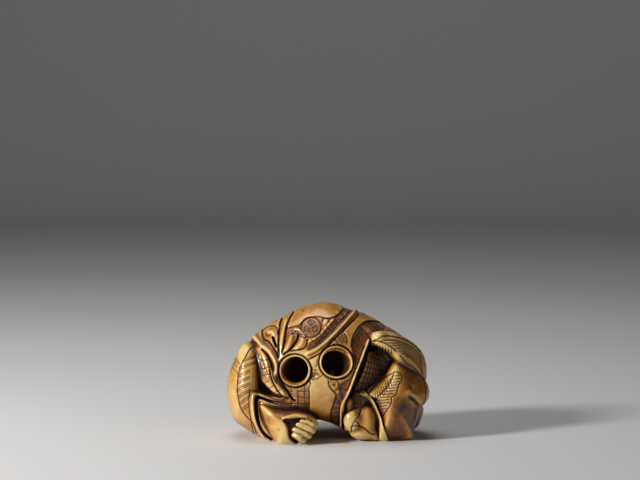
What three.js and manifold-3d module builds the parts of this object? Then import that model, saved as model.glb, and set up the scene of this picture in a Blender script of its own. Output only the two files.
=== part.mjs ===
// A netsuke carved from one piece of ivory: a robed figure crouching with its back arched like a dome.
// The forms are laid out in the leaning frame they were drawn in: x across, t depth (growing away from the
// side with the cord holes) and v up. The carving is then tipped by that lean, cut flat below and stood on z = 0.
import * as THREE from 'three';
import { mergeVertices } from 'three/addons/utils/BufferGeometryUtils.js';
import Module from 'manifold-3d';

const wasm = await Module();
wasm.setup();

// driving dimensions, millimetres and degrees
const lean = { angle: 8, pivotDepth: -10 };
const back = { centre: [0.5, 13], depth: 1.5, half: 12, far: 8.4, detail: 7 };
const bore = { diameter: 5.2, narrow: 4.8, rimWidth: 0.9, rimRadius: 2.75, start: 2.2, lead: 0.6, run: 6.8,
  shift: 4.2, endHeight: 15.7, sides: 18, rimSides: 24 };
const holes = [{ x: -6.8, v: 14.9, side: 1 }, { x: 1.6, v: 16.65, side: -1 }];
const arch = { x: -3.8, v: -1, halfWidth: 8.6, halfHeight: 6, length: 40, sides: 16 };
const farArch = { x: 0.8, v: -1, halfWidth: 5.4, halfHeight: 6, length: 40, sides: 14 };
const recess = { near: -16, floor: -4.9 };
const pocket = { radius: 0.9, sink: 0.3 };
const head = { place: [0.9, 7.4, 17], bow: 16 };
const ridgeSides = 5;
const grooveSides = 4;
const roughSpan = 200;

// ---- shapes -------------------------------------------------------------------------------------------

function solid(geometry) {
  const bare = geometry.clone();
  bare.deleteAttribute('normal');
  bare.deleteAttribute('uv');
  const merged = mergeVertices(bare, 1e-4);
  return new wasm.Manifold(new wasm.Mesh({
    numProp: 3,
    vertProperties: Float32Array.from(merged.attributes.position.array),
    triVerts: Uint32Array.from(merged.index.array),
  }));
}

function surfaceOf(manifold) {
  const raw = manifold.getMesh();
  const geometry = new THREE.BufferGeometry();
  geometry.setAttribute('position', new THREE.BufferAttribute(Float32Array.from(raw.vertProperties), 3));
  geometry.setIndex(Array.from(raw.triVerts));
  return geometry;
}

const placed = (manifold, move) => solid(move(surfaceOf(manifold)));
const join = (...parts) => wasm.Manifold.union(parts.map((part) => (part.isBufferGeometry ? solid(part) : part)));

function outlineCurve(points, stepsEach = 8) {
  const path = points.map(([x, v]) => new THREE.Vector3(x, v, 0));
  return new THREE.CatmullRomCurve3(path, true, 'catmullrom', 0.5).getPoints(points.length * stepsEach);
}

// distance from the centre to the outline, by direction
function reachOf(centre, points) {
  const polar = outlineCurve(points).map((p) => {
    const dx = p.x - centre[0];
    const dv = p.y - centre[1];
    return [Math.atan2(dv, dx), Math.hypot(dx, dv)];
  }).sort((a, b) => a[0] - b[0]);
  const turn = 2 * Math.PI;
  const first = polar[0];
  const last = polar[polar.length - 1];
  const ring = [[last[0] - turn, last[1]], ...polar, [first[0] + turn, first[1]]];
  return (angle) => {
    const i = ring.findIndex(([a]) => a > angle);
    const [a0, r0] = ring[i - 1];
    const [a1, r1] = ring[i];
    return r0 + (r1 - r0) * (angle - a0) / Math.max(a1 - a0, 1e-9);
  };
}

// a rounded form that fills an outline and swells in depth: by half towards the holes' side, by far away from it
function bulge({ centre, outline, depth, half, far = half, power = 2, slope = [0, 0], detail = 6 }) {
  const reach = reachOf(centre, outline);
  const geometry = new THREE.IcosahedronGeometry(1, detail);
  const place = geometry.attributes.position;
  for (let i = 0; i < place.count; i += 1) {
    const [a, b, c] = [place.getX(i), place.getY(i), place.getZ(i)];
    const across = Math.hypot(a, c);
    const size = (across ** power + Math.abs(b) ** power) ** (1 / power);
    const angle = Math.atan2(c, a);
    const r = (across / size) * reach(angle);
    const dx = r * Math.cos(angle);
    const dv = r * Math.sin(angle);
    const swell = (b / size) * (b < 0 ? half : far);
    place.setXYZ(i, centre[0] + dx, depth + slope[0] * dx + slope[1] * dv + swell, centre[1] + dv);
  }
  return geometry;
}

function ball(centre, radii, detail = 3) {
  return new THREE.IcosahedronGeometry(1, detail).scale(...radii).translate(...centre);
}

function sweep(points, radius, sides, steps = points.length + 2) {
  const section = new THREE.Shape();
  for (let i = 0; i < sides; i += 1) {
    const a = (i / sides) * 2 * Math.PI;
    const [x, y] = [radius * Math.cos(a), radius * Math.sin(a)];
    if (i === 0) section.moveTo(x, y);
    else section.lineTo(x, y);
  }
  const path = new THREE.CatmullRomCurve3(points.map((p) => new THREE.Vector3(...p)));
  return new THREE.ExtrudeGeometry(section, { steps, bevelEnabled: false, extrudePath: path });
}

function finger(from, to, radius, sides = 6) {
  const a = new THREE.Vector3(...from);
  const b = new THREE.Vector3(...to);
  const along = b.clone().sub(a).normalize();
  const middle = a.clone().add(b).multiplyScalar(0.5);
  return new THREE.CapsuleGeometry(radius, a.distanceTo(b), 2, sides)
    .applyQuaternion(new THREE.Quaternion().setFromUnitVectors(new THREE.Vector3(0, 1, 0), along))
    .translate(middle.x, middle.y, middle.z);
}

// a block of the given outline, from one depth to another
function block(points, near, far) {
  const shape = new THREE.Shape(outlineCurve(points, 3).map((p) => new THREE.Vector2(p.x, p.y)));
  return new THREE.ExtrudeGeometry(shape, { depth: far - near, bevelEnabled: false })
    .rotateX(Math.PI / 2).translate(0, far, 0);
}

// an oval passage under the figure, along its depth
function passage({ x, v, halfWidth, halfHeight, length, sides }) {
  return solid(new THREE.CylinderGeometry(1, 1, length, sides).scale(halfWidth, 1, halfHeight).translate(x, 0, v));
}

// ---- the domed back of the robe -------------------------------------------------------------------------

const backOutline = [[-17.4, 16], [-16, 21.3], [-13.2, 24], [-9, 26.5], [-5, 28.2], [-1, 29.05], [3, 28.3], [7, 27],
  [11, 25], [14.5, 22.3], [17.3, 18], [18, 12], [16.5, 6], [12, 3], [5, 2.4], [-2, 2.6], [-9, 3], [-13.5, 4.6],
  [-16.5, 9]];
const backReach = reachOf(back.centre, backOutline);

// depth of the back's surface on the holes' side
function onBack(x, v) {
  const dx = x - back.centre[0];
  const dv = v - back.centre[1];
  const across = Math.min(Math.hypot(dx, dv) / backReach(Math.atan2(dv, dx)), 1);
  return back.depth - back.half * Math.sqrt(1 - across ** 2);
}

const laid = (points, sink) => points.map(([x, v]) => [x, onBack(x, v) + sink, v]);
const roll = (points, radius, proud) => sweep(laid(points, radius - proud), radius, ridgeSides);
const groove = (points, radius, sink) => sweep(laid(points, sink), radius, grooveSides, points.length + 1);

function rim({ x, v }) {
  const geometry = new THREE.TorusGeometry(bore.rimRadius, bore.rimWidth / 2, 4, bore.rimSides).rotateX(Math.PI / 2);
  const place = geometry.attributes.position;
  for (let i = 0; i < place.count; i += 1) {
    const a = Math.atan2(place.getZ(i), place.getX(i));
    const surface = onBack(x + bore.rimRadius * Math.cos(a), v + bore.rimRadius * Math.sin(a));
    place.setXYZ(i, place.getX(i) + x, place.getY(i) + surface, place.getZ(i) + v);
  }
  return geometry;
}

// one leg of the cord passage; the two legs meet inside the back
function boreLeg({ x, v, side }) {
  const start = new THREE.Vector3(x - side * bore.lead, onBack(x, v) - bore.start, v);
  const end = new THREE.Vector3(x + side * bore.shift, onBack(x, v) + bore.run, bore.endHeight);
  const along = end.clone().sub(start).normalize();
  const middle = start.clone().add(end).multiplyScalar(0.5);
  return new THREE.CylinderGeometry(bore.narrow / 2, bore.diameter / 2, start.distanceTo(end), bore.sides)
    .applyQuaternion(new THREE.Quaternion().setFromUnitVectors(new THREE.Vector3(0, 1, 0), along))
    .translate(middle.x, middle.y, middle.z);
}

// round badge on the upper back
function crest() {
  const [x, v, r] = [-3.5, 23.8, 2.1];
  const slope = [(onBack(x + 1, v) - onBack(x - 1, v)) / 2, (onBack(x, v + 1) - onBack(x, v - 1)) / 2];
  const round = [0, 1, 2, 3, 4, 5, 6, 7].map((k) => k * Math.PI / 4)
    .map((a) => [x + r * Math.cos(a), v + r * Math.sin(a)]);
  return bulge({ centre: [x, v], outline: round, depth: onBack(x, v), half: 0.45, power: 4, slope, detail: 2 });
}

function robeBack() {
  const dome = solid(bulge({ ...back, outline: backOutline }));
  const raised = join(
    roll([[5.6, 27.6], [4, 25.5], [2.6, 23.9], [0, 21.2], [-2.7, 19.1], [-4.2, 18.4]], 0.75, 0.7), // sash
    roll([[1.2, 25.5], [-0.9, 23.1], [-3, 21.3], [-4.1, 20.7]], 0.5, 0.4),
    roll([[-15.4, 22], [-13.9, 20.2], [-12, 18.6], [-10.8, 16.4], [-10.7, 14.2]], 0.7, 0.75),      // shoulder folds
    roll([[-11.3, 14.6], [-10.5, 12.3], [-8.9, 10.2], [-7.8, 9.4]], 0.6, 0.6),
    roll([[-9.6, 26], [-9.55, 22], [-9.75, 19]], 0.6, 0.35),
    crest(),
  );
  const sunk = join(
    groove([[-9, 26.6], [-9.9, 25], [-10.2, 21], [-9.95, 18]], 0.35, -0.1),
    groove([[-6.9, 27.6], [-8.4, 24.5], [-8.9, 21], [-9.4, 18.6]], 0.35, -0.1),
    groove([[-6.1, 22.2], [-6.9, 20.3], [-9, 18.3]], 0.4, -0.1),
    groove([[-11.5, 22], [-11.1, 20.7], [-10.4, 19.2]], 0.5, 0.1),
    groove([[6.9, 27.8], [4.6, 24.6], [1.9, 22], [-0.6, 19.3], [-3, 18]], 0.35, -0.1),
    groove([[-8.2, 23.6], [-6, 24.2], [-4.4, 25.8], [-1.6, 26.1], [0.5, 25.8], [2.1, 26.6], [3, 28]], 0.3, -0.1),
    groove([[-15.6, 14], [-14.6, 12.4], [-12.8, 11], [-10.5, 9.9], [-8, 9.3]], pocket.radius, pocket.sink),
  );
  const hollow = block([[8.4, 21], [6.6, 16.1], [4, 9.5], [3.4, 3], [8, 0], [12, 2], [14, 8], [16, 17], [14, 21],
    [10, 22]], recess.near, recess.floor);
  const robeEdge = roll([[8.4, 21.6], [7.35, 18.7], [6.2, 15.8], [4.1, 10.4], [2.95, 8], [2.6, 5], [2.6, 2.2]], 0.5, 0.6);
  return dome.subtract(join(hollow, sunk)).add(join(raised, robeEdge, ...holes.map(rim)))
    .subtract(join(...holes.map(boreLeg)));
}

// ---- sleeves --------------------------------------------------------------------------------------------

function leftSleeve() {
  const hanging = bulge({
    centre: [-17, 11], depth: -0.8, half: 7.6, power: 2.2, slope: [-0.2, 0], detail: 4,
    outline: [[-17, 20.85], [-15.3, 20.4], [-14, 18.6], [-13.5, 15.5], [-13.6, 12], [-13.2, 7], [-12.9, 3], [-13.2, 0.8],
      [-16.3, 2.45], [-19.1, 4.4], [-20.35, 6.6], [-20.95, 9.5], [-20.9, 12.8], [-20.2, 15.4], [-19.3, 17.6],
      [-18.4, 19.8]],
  });
  const cuff = bulge({
    centre: [-10.5, 5.5], depth: -2, half: 6.4, power: 2.6, detail: 4,
    outline: [[-15.7, 11.6], [-13.5, 11], [-11, 9.9], [-8.5, 9.1], [-6, 8.6], [-4.6, 7.4], [-4.4, 5], [-7, 1.5],
      [-11, -0.2], [-13.4, 0.9], [-15, 3], [-16, 7]],
  });
  return join(hanging, cuff);
}

function rightSleeve() {
  const upper = bulge({
    centre: [14.5, 18.5], depth: -2.6, half: 4.6, power: 2.2, slope: [0.42, 0], detail: 4,
    outline: [[8.75, 20.7], [8.95, 22.1], [9.6, 22.9], [11.2, 23.15], [13.5, 22.85], [16, 21.7], [18, 20.35],
      [19.5, 18.7], [20.25, 16.6], [20.45, 14.6], [19.9, 12.6], [17, 13], [14.5, 15], [12.6, 18], [10.6, 19.5]],
  });
  const lower = bulge({
    centre: [13.5, 8.5], depth: -1.2, half: 8, power: 2.3, slope: [0.1, 0], detail: 4,
    outline: [[14.1, 18.4], [16.3, 17.3], [18.5, 15], [20, 13.2], [20.8, 11.5], [20.95, 10], [20.4, 8.6], [19.4, 7.4],
      [18.4, 5], [17.7, 2.5], [17, 0.4], [12, 0], [10.5, 0.4], [10, 4], [9, 7], [7.7, 9.2], [6.4, 10.3], [4.9, 10.6],
      [7, 11.75], [9, 12.95], [11, 14.5], [12.4, 16.4]],
  });
  const flap = bulge({
    centre: [18, 5.8], depth: 3, half: 3.5, power: 2.2, detail: 2,
    outline: [[17.6, 9.5], [19.5, 7.7], [19.85, 6.7], [19.4, 4.8], [18.7, 3.3], [17.9, 2.9], [17.1, 3.5], [16.6, 6]],
  });
  return join(upper, ball([10.4, -5.9, 21.6], [1.7, 2.3, 1.5], 2), lower, flap);
}

// ---- hands ----------------------------------------------------------------------------------------------

function leftHand() {
  const forearm = solid(bulge({
    centre: [-8.5, 3.4], depth: -7.6, half: 4.2, power: 2.1, slope: [-0.12, 0], detail: 4,
    outline: [[-13.75, 8.1], [-11.5, 7.4], [-9, 6.95], [-6.5, 6.8], [-4.5, 6.3], [-2.9, 5.5], [-2.05, 4.4], [-2.2, 3.2],
      [-3.2, 1.8], [-4.4, 0.6], [-5.5, -0.4], [-9.4, -0.4], [-10.9, 0.9], [-12, 2.4], [-13.2, 4.5], [-13.95, 7]],
  }));
  const palm = block([[-8.9, 4.9], [-6.2, 5.2], [-4.5, 5], [-3.3, 3.9], [-2.2, 3], [-3.4, 0.6], [-6.4, 0.2],
    [-8.6, 3]], -16, -10);
  const fingers = join(
    finger([-6.1, -11.3, 3.85], [-2.9, -11, 2.8], 0.6),
    finger([-6.9, -11.2, 3.05], [-3.6, -11, 1.75], 0.68),
    finger([-7, -10.9, 2.05], [-4.7, -10.7, 0.75], 0.66),
    finger([-4.2, -11.2, 4.75], [-2.7, -10.9, 3.7], 0.55),
  );
  return forearm.subtract(solid(palm)).add(fingers);
}

function rightHand() {
  const mass = bulge({
    centre: [6.5, 4.8], depth: -4.2, half: 4, power: 2.4, detail: 3,
    outline: [[3.35, 8.3], [3.25, 6], [3.3, 3], [4, 2.4], [5, 1.6], [6.5, 0.8], [8.5, 0.5], [10.6, 0.6], [10.6, 3],
      [10.1, 5], [9.2, 7], [8.2, 8.6], [7.2, 9.8], [6, 10.5], [4.8, 9.9]],
  });
  return join(mass, ball([5, -7.2, 4.9], [1.9, 1.7, 2.5], 2), ball([7.9, -6.9, 5], [1.9, 1.7, 2.9], 2),
    ball([6.9, -6.2, 2.3], [2.5, 1.9, 1.4], 2), ball([4.2, -7.4, 8.1], [0.7, 1.2, 1.3], 1),
    ball([6.1, -6.9, 8.9], [1.6, 1.5, 1.5], 1));
}

// ---- far side: shoulders, knees and the bowed head ----------------------------------------------------------

function limbsOfFarSide() {
  return join(
    ball([-9.4, 6.5, 8.8], [6, 6.6, 7], 2), // knees
    ball([10.2, 6.5, 8.8], [6, 6.6, 7], 2),
    ball([-13, 2.4, 8.8], [5.2, 7.8, 7], 2), // thighs under the robe
    ball([13.8, 2.4, 8.8], [5.2, 7.8, 7], 2),
    ball([-11.4, 2.4, 17.4], [5.2, 6.4, 5.2], 2), // shoulders
    ball([12.2, 2.5, 17.6], [5.2, 6.4, 5.4], 2),
  );
}

// laid out about the middle of the head, with x across, y towards the face and z up
function bowedHead() {
  const hair = solid(ball([0, -0.5, 1.5], [5.3, 5.75, 5.3], 2))
    .subtract(solid(new THREE.BoxGeometry(12, 12, 12).translate(0, 5.2, -3.1)));
  const skullAndFace = join(
    ball([0, -0.3, 1.2], [5, 5.5, 5.2], 2),
    ball([0, 1.8, -2.6], [3.9, 4, 4.2], 2),
    finger([0, 5.1, 1.2], [0, 5.7, -0.7], 0.6),        // nose
    finger([-0.9, 4.9, -2.7], [0.9, 4.9, -2.7], 0.45), // lips
    finger([0, -1.2, 6.5], [0, 1.5, 7], 1.1),            // knot of hair
    ...[-1, 1].flatMap((side) => [
      ball([side * 4.95, -0.1, -0.1], [0.75, 1.25, 1.85], 1), // ear
      ball([side * 1.95, 4.6, 0.55], [1.1, 0.6, 0.5], 1),     // lowered lid
      ball([side * 2.3, 3.4, -1.5], [1.8, 1.6, 1.9], 1),      // cheek
    ]),
  );
  return placed(skullAndFace.add(hair), (geometry) => geometry
    .rotateX(-THREE.MathUtils.degToRad(head.bow)).translate(...head.place));
}

// ---- the whole carving ------------------------------------------------------------------------------------

function carving() {
  const lap = solid(ball([0.8, 3.2, 10.9], [8.5, 7.2, 6])).subtract(passage(farArch));
  const body = join(robeBack(), lap).subtract(passage(arch));
  return join(body, leftSleeve(), rightSleeve(), leftHand(), rightHand(), limbsOfFarSide(), bowedHead());
}

const tipUpright = (geometry) => geometry.translate(0, -lean.pivotDepth, 0)
  .rotateX(-THREE.MathUtils.degToRad(lean.angle)).translate(0, lean.pivotDepth, 0);

// cut flat at z = 0 and moved so that the origin is under the middle of its box
function finished() {
  const below = new THREE.BoxGeometry(roughSpan, roughSpan, roughSpan).translate(0, 0, -roughSpan / 2);
  const figure = surfaceOf(placed(carving(), tipUpright).subtract(solid(below)));
  figure.computeBoundingBox();
  const { min, max } = figure.boundingBox;
  figure.translate(-(min.x + max.x) / 2, -(min.y + max.y) / 2, -min.z);
  figure.computeVertexNormals();
  return figure;
}

const ivory = new THREE.MeshStandardMaterial({ color: '#d8b47c', roughness: 0.32, metalness: 0 });
const figure = new THREE.Mesh(finished(), ivory);
figure.name = 'carved_figure';

const netsuke = new THREE.Group();
netsuke.add(figure);

export default netsuke;
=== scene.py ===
import math
import bmesh
import bpy
import numpy as np
import openvdb
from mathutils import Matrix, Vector


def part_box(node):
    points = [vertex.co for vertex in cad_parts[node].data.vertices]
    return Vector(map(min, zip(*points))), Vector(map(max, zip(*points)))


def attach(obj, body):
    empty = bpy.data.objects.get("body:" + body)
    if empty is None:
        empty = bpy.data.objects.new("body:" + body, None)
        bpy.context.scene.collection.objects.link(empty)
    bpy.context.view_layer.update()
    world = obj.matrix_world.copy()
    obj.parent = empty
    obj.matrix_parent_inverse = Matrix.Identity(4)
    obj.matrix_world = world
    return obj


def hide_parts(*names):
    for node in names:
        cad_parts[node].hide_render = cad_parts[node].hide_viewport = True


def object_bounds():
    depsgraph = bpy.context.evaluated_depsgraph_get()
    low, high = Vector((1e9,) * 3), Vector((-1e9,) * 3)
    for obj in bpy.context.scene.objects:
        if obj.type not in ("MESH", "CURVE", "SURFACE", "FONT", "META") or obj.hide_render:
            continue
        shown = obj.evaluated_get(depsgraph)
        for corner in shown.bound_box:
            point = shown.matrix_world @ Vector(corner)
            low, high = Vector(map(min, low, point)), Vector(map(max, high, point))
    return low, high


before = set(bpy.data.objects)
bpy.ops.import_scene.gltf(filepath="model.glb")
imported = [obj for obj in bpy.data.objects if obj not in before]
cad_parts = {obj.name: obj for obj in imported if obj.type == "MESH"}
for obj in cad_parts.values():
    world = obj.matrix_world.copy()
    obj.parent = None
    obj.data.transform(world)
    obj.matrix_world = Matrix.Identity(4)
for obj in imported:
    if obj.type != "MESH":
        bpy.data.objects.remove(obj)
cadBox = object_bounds()

# The netsuke is one piece of ivory. It is sculpted as a distance field in millimetres: x across, t depth
# (growing away from the cord holes) and v up, in a frame that leans like the figure's own back. The strokes
# of the graver are drawn on flat relief maps, which push the big forms in and out before they are joined.
# A stroke or outline is a list of points across and up. The numbers after a groove are its width, its depth
# and how dark its ink is. Those after an outline are how far it moves the surface and how soft its edge is.

carvingGrid = {
    "cell": 0.15,                 # mm between the points of the field
    "x": (-22.6, 22.6),
    "t": (-13.6, 16.4),
    "v": (-1.0, 30.6),
    "leanAngle": 8,               # degrees that the finished carving is tipped by
    "leanDepth": -10,             # t of the line it is tipped about
}
carvingMesh = {
    "triangles": 196000,          # what the decimated surface keeps
    "plainBeyond": 1.5,           # the depth from which the surface is plainer
    "plainKept": 0.4,             # the share of its points that stays there
    # the bores' walls get stain and painted shade, the hair gets its stain
    "stainsAndPaintedShade": {"bore": 0.45, "hair": 0.3},
    "cavityReach": (0.45, 1.3, 3.4),    # mm, how far dirt and handling feel the shape around them
}

cell = carvingGrid["cell"]
fine = cell / 2
leanAngle = math.radians(carvingGrid["leanAngle"])
leanDepth = carvingGrid["leanDepth"]


def axisOf(name, step):
    low, high = carvingGrid[name]
    return np.arange(int(round((high - low) / step)) + 1) * step + low


axes = xs, ts, vs = [axisOf(name, cell) for name in "xtv"]


def smooth(a, low, high):
    u = np.clip((a - low) / (high - low), 0, 1)
    return u * u * (3 - 2 * u)


def curveThrough(points, closed=False, steps=8):
    p = np.asarray(points, float)
    if closed:
        p = np.vstack([p[-1], p, p[:2]])
    else:
        p = np.vstack([2 * p[0] - p[1], p, 2 * p[-1] - p[-2]])
    u = (np.arange(steps) / steps)[:, None]
    out = []
    for i in range(1, len(p) - 2):
        a, b, c, d = p[i - 1:i + 3]
        out.append(0.5 * (2 * b + (c - a) * u + (2 * a - 5 * b + 4 * c - d) * u ** 2
                          + (3 * b - a - 3 * c + d) * u ** 3))
    if not closed:
        out.append(p[-2:-1])
    return np.vstack(out)


def circle(centre, radius, count=36):
    a = np.linspace(0, 2 * math.pi, count, False)
    return np.c_[centre[0] + radius * np.cos(a), centre[1] + radius * np.sin(a)]


def intoLean(x, y, z):
    # a point of the standing carving, in the leaning frame
    c, s = math.cos(leanAngle), math.sin(leanAngle)
    return (x, (y - leanDepth) * c - z * s + leanDepth, (y - leanDepth) * s + z * c)


class ReliefMap:
    # what the graver does, seen square on to one side
    def __init__(self, across="x"):
        self.across = across
        self.h, self.v = [np.arange(2 * len(axes["xtv".index(name)]) - 1) * fine + carvingGrid[name][0]
                          for name in (across, "v")]
        self.height = np.zeros((len(self.h), len(self.v)), np.float32)
        self.ink = np.zeros_like(self.height)
        self.washAndPaintedLight = np.zeros_like(self.height)

    def window(self, points, margin):
        out = []
        for axis, lo, hi in zip((self.h, self.v), points.min(0) - margin, points.max(0) + margin):
            i0, i1 = np.clip([(lo - axis[0]) / fine, (hi - axis[0]) / fine + 2], 0, len(axis)).astype(int)
            out.append(slice(i0, i1))
        return tuple(out)

    def distance(self, line, win):
        h, v = self.h[win[0]][:, None], self.v[win[1]][None, :]
        best = np.full(np.broadcast(h, v).shape, 99.0)
        along = np.zeros_like(best)
        lengths = np.hypot(*(line[1:] - line[:-1]).T)
        total, run = max(lengths.sum(), 1e-9), 0.0
        for a, b, size in zip(line[:-1], line[1:], lengths):
            if size < 1e-9:
                continue
            u = np.clip(((h - a[0]) * (b[0] - a[0]) + (v - a[1]) * (b[1] - a[1])) / size ** 2, 0, 1)
            d = np.hypot(h - a[0] - u * (b[0] - a[0]), v - a[1] - u * (b[1] - a[1]))
            near = d < best
            best = np.where(near, d, best)
            along = np.where(near, (run + u * size) / total, along)
            run += size
        return best, along

    def inside(self, loop, win):
        h, v = self.h[win[0]][:, None], self.v[win[1]][None, :]
        odd = np.zeros(np.broadcast(h, v).shape, bool)
        for a, b in zip(loop, np.roll(loop, -1, 0)):
            if a[1] != b[1]:
                odd ^= ((a[1] > v) != (b[1] > v)) & (h < (b[0] - a[0]) * (v - a[1]) / (b[1] - a[1]) + a[0])
        return odd

    def groove(self, points, width=0.3, depth=0.2, ink=1.0, taper=0.0, straight=False, closed=False):
        line = np.asarray(points, float) if straight else curveThrough(points, closed)
        if closed:
            line = np.vstack([line, line[:1]])
        win = self.window(line, width + 0.2)
        d, along = self.distance(line, win)
        strength = smooth(np.minimum(along, 1 - along), -0.02, taper) if taper else 1.0
        self.height[win] -= depth * smooth(d, width / 2, 0) * strength
        if ink:
            mark = smooth(d, width / 2 + 0.08, width / 5) * strength * ink
            self.ink[win] = np.maximum(self.ink[win], mark)

    def grooves(self, lines, *how, **more):
        for line in lines:
            self.groove(line, *how, **more)

    def hatch(self, count, first, step, *how, **more):
        # grooves side by side, each moved on by a step from the one before
        for k in range(count):
            self.groove([(h + k * dh, v + k * dv) for (h, v), (dh, dv) in zip(first, step)], *how, **more)

    def ridge(self, points, width, height, taper=0.0, closed=False):
        self.groove(points, width, -height, 0, taper, False, closed)

    def area(self, points, margin=1.5):
        loop = curveThrough(points, True)
        win = self.window(loop, margin)
        d, _ = self.distance(np.vstack([loop, loop[:1]]), win)
        return win, np.where(self.inside(loop, win), -d, d)

    def lift(self, points, height, edge=0.3):
        win, d = self.area(points)
        self.height[win] += height * smooth(d, edge / 2, -edge / 2)

    def level(self, points, height, edge=0.3):
        win, d = self.area(points)
        m = smooth(d, edge / 2, -edge / 2)
        self.height[win] = self.height[win] * (1 - m) + height * m

    # a wash inside an outline: most outlines are stains, a few paint shade or light
    def stainAndPaintedLight(self, points, amount, edge=1.0):
        win, d = self.area(points, margin=edge)
        self.washAndPaintedLight[win] += amount * smooth(d, edge / 2, -edge / 2)


# the field starts far outside everything; owner tells which part of the carving a place belongs to
field = np.full((len(xs), len(ts), len(vs)), 30, np.float32)
owner = np.zeros(field.shape, np.uint8)
ownerTags = {"robe": 1, "sleeve": 2, "hand": 3, "farSide": 4, "lap": 5, "head": 6, "bore": 7, "hair": 8}


def gridWindow(low, high):
    out = []
    for axis, lo, hi in zip(axes, low, high):
        i0 = int(np.clip((lo - axis[0]) / cell, 0, len(axis) - 1))
        i1 = int(np.clip((hi - axis[0]) / cell + 2, 1, len(axis)))
        out.append(slice(i0, i1))
    return tuple(out)


def bulge(centre, outline, depth, half, far=None, power=2.0, slope=(0, 0), margin=2.5):
    # a rounded form that fills an outline and swells in depth
    far = half if far is None else far
    loop = curveThrough(outline, True)
    tilt = max(abs(slope[0]) * np.ptp(loop[:, 0]), abs(slope[1]) * np.ptp(loop[:, 1]))
    win = gridWindow((loop[:, 0].min() - margin, depth - half - margin - tilt, loop[:, 1].min() - margin),
                     (loop[:, 0].max() + margin, depth + far + margin + tilt, loop[:, 1].max() + margin))
    x, t, v = xs[win[0]][:, None], ts[win[1]], vs[win[2]][None, :]
    rel = loop - centre
    angle, radius = np.arctan2(rel[:, 1], rel[:, 0]), np.hypot(*rel.T)
    order = np.argsort(angle)
    dx, dv = x - centre[0], v - centre[1]
    rho = np.hypot(dx, dv) / np.interp(np.arctan2(dv, dx), angle[order], radius[order], period=2 * math.pi)
    steep = np.maximum(np.hypot(*np.gradient(rho, cell)), 1e-3)[:, None, :].astype(np.float32)
    rho = rho[:, None, :].astype(np.float32)
    b = (t[None, :, None] - (depth + slope[0] * dx + slope[1] * dv)[:, None, :]).astype(np.float32)
    swell = np.where(b < 0, half, far).astype(np.float32)
    b = np.abs(b) / swell
    k = np.maximum((rho ** power + b ** power) ** (1 / power), 1e-4)
    grow = np.sqrt((rho ** (power - 1) * steep) ** 2 + (b ** (power - 1) / swell) ** 2) / k ** (power - 1)
    return win, ((k - 1) / np.maximum(grow, 1e-3)).astype(np.float32)


def ellipsoid(coords, centre, radii):
    p = [(c - m) / r for c, m, r in zip(coords, centre, radii)]
    k0 = np.sqrt(p[0] ** 2 + p[1] ** 2 + p[2] ** 2)
    k1 = np.sqrt((p[0] / radii[0]) ** 2 + (p[1] / radii[1]) ** 2 + (p[2] / radii[2]) ** 2)
    return k0 * (k0 - 1) / np.maximum(k1, 1e-4)


def roundRod(coords, points, radii, steps=6):
    p = curveThrough(points, False, steps) if len(points) > 2 else np.asarray(points, float)
    r = np.interp(np.linspace(0, len(radii) - 1, len(p)), range(len(radii)), radii)
    best = None
    for a, b, ra, rb in zip(p[:-1], p[1:], r[:-1], r[1:]):
        d = b - a
        u = sum((c - m) * k for c, m, k in zip(coords, a, d)) / (d @ d)
        u = np.clip(u, 0, 1)
        dist = np.sqrt(sum((c - m - u * k) ** 2 for c, m, k in zip(coords, a, d))) - (ra + u * (rb - ra))
        best = dist if best is None else np.minimum(best, dist)
    return best


def cellsOf(win):
    return np.meshgrid(xs[win[0]], ts[win[1]], vs[win[2]], indexing="ij", sparse=True)


def ball(centre, radii, margin=2.0):
    c, r = np.array(centre, float), np.array(radii, float)
    win = gridWindow(c - r - margin, c + r + margin)
    return win, ellipsoid(cellsOf(win), c, r).astype(np.float32)


def rod(points, radii, margin=1.6):
    p = np.asarray(points, float)
    win = gridWindow(p.min(0) - max(radii) - margin, p.max(0) + max(radii) + margin)
    return win, roundRod(cellsOf(win), points, radii).astype(np.float32)


def softMin(a, b, blend):
    h = np.maximum(blend - np.abs(a - b), 0) / blend
    return np.minimum(a, b) - h * h * blend / 4


def softMax(a, b, blend):
    return -softMin(-a, -b, blend)


def reliefWeights(nx, nt):
    # how far each map speaks for a surface that looks along (nx, nt)
    front = smooth(nt, 0.15, -0.12)
    side = smooth(np.abs(nx), 0.5, 0.8) * (1 - front)
    return {"front": front, "left": side * (nx < 0), "right": side * (nx >= 0),
            "far": (1 - front) * (1 - side)}


def join(shape, blend, part, maps=None):
    win, new = shape
    if maps:
        nx, nt, nv = np.gradient(new)
        size = np.sqrt(nx ** 2 + nt ** 2 + nv ** 2) + 1e-6
        weights = reliefWeights(nx / size, nt / size)
        lift = np.zeros_like(new)
        for side, relief in maps.items():
            flat = relief.height[::2, ::2]
            if relief.across == "x":
                flat = flat[win[0], win[2]][:, None, :]
            else:
                flat = flat[win[1], win[2]][None, :, :]
            lift += flat * weights[side]
        new = new - lift
    old = field[win]
    owner[win][new < old] = ownerTags[part]
    field[win] = softMin(old, new, blend)


def carve(shape, blend, only=None):
    win, new = shape
    cut = softMax(field[win], -new, blend)
    field[win] = np.where(owner[win] == ownerTags[only], cut, field[win]) if only else cut


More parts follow.
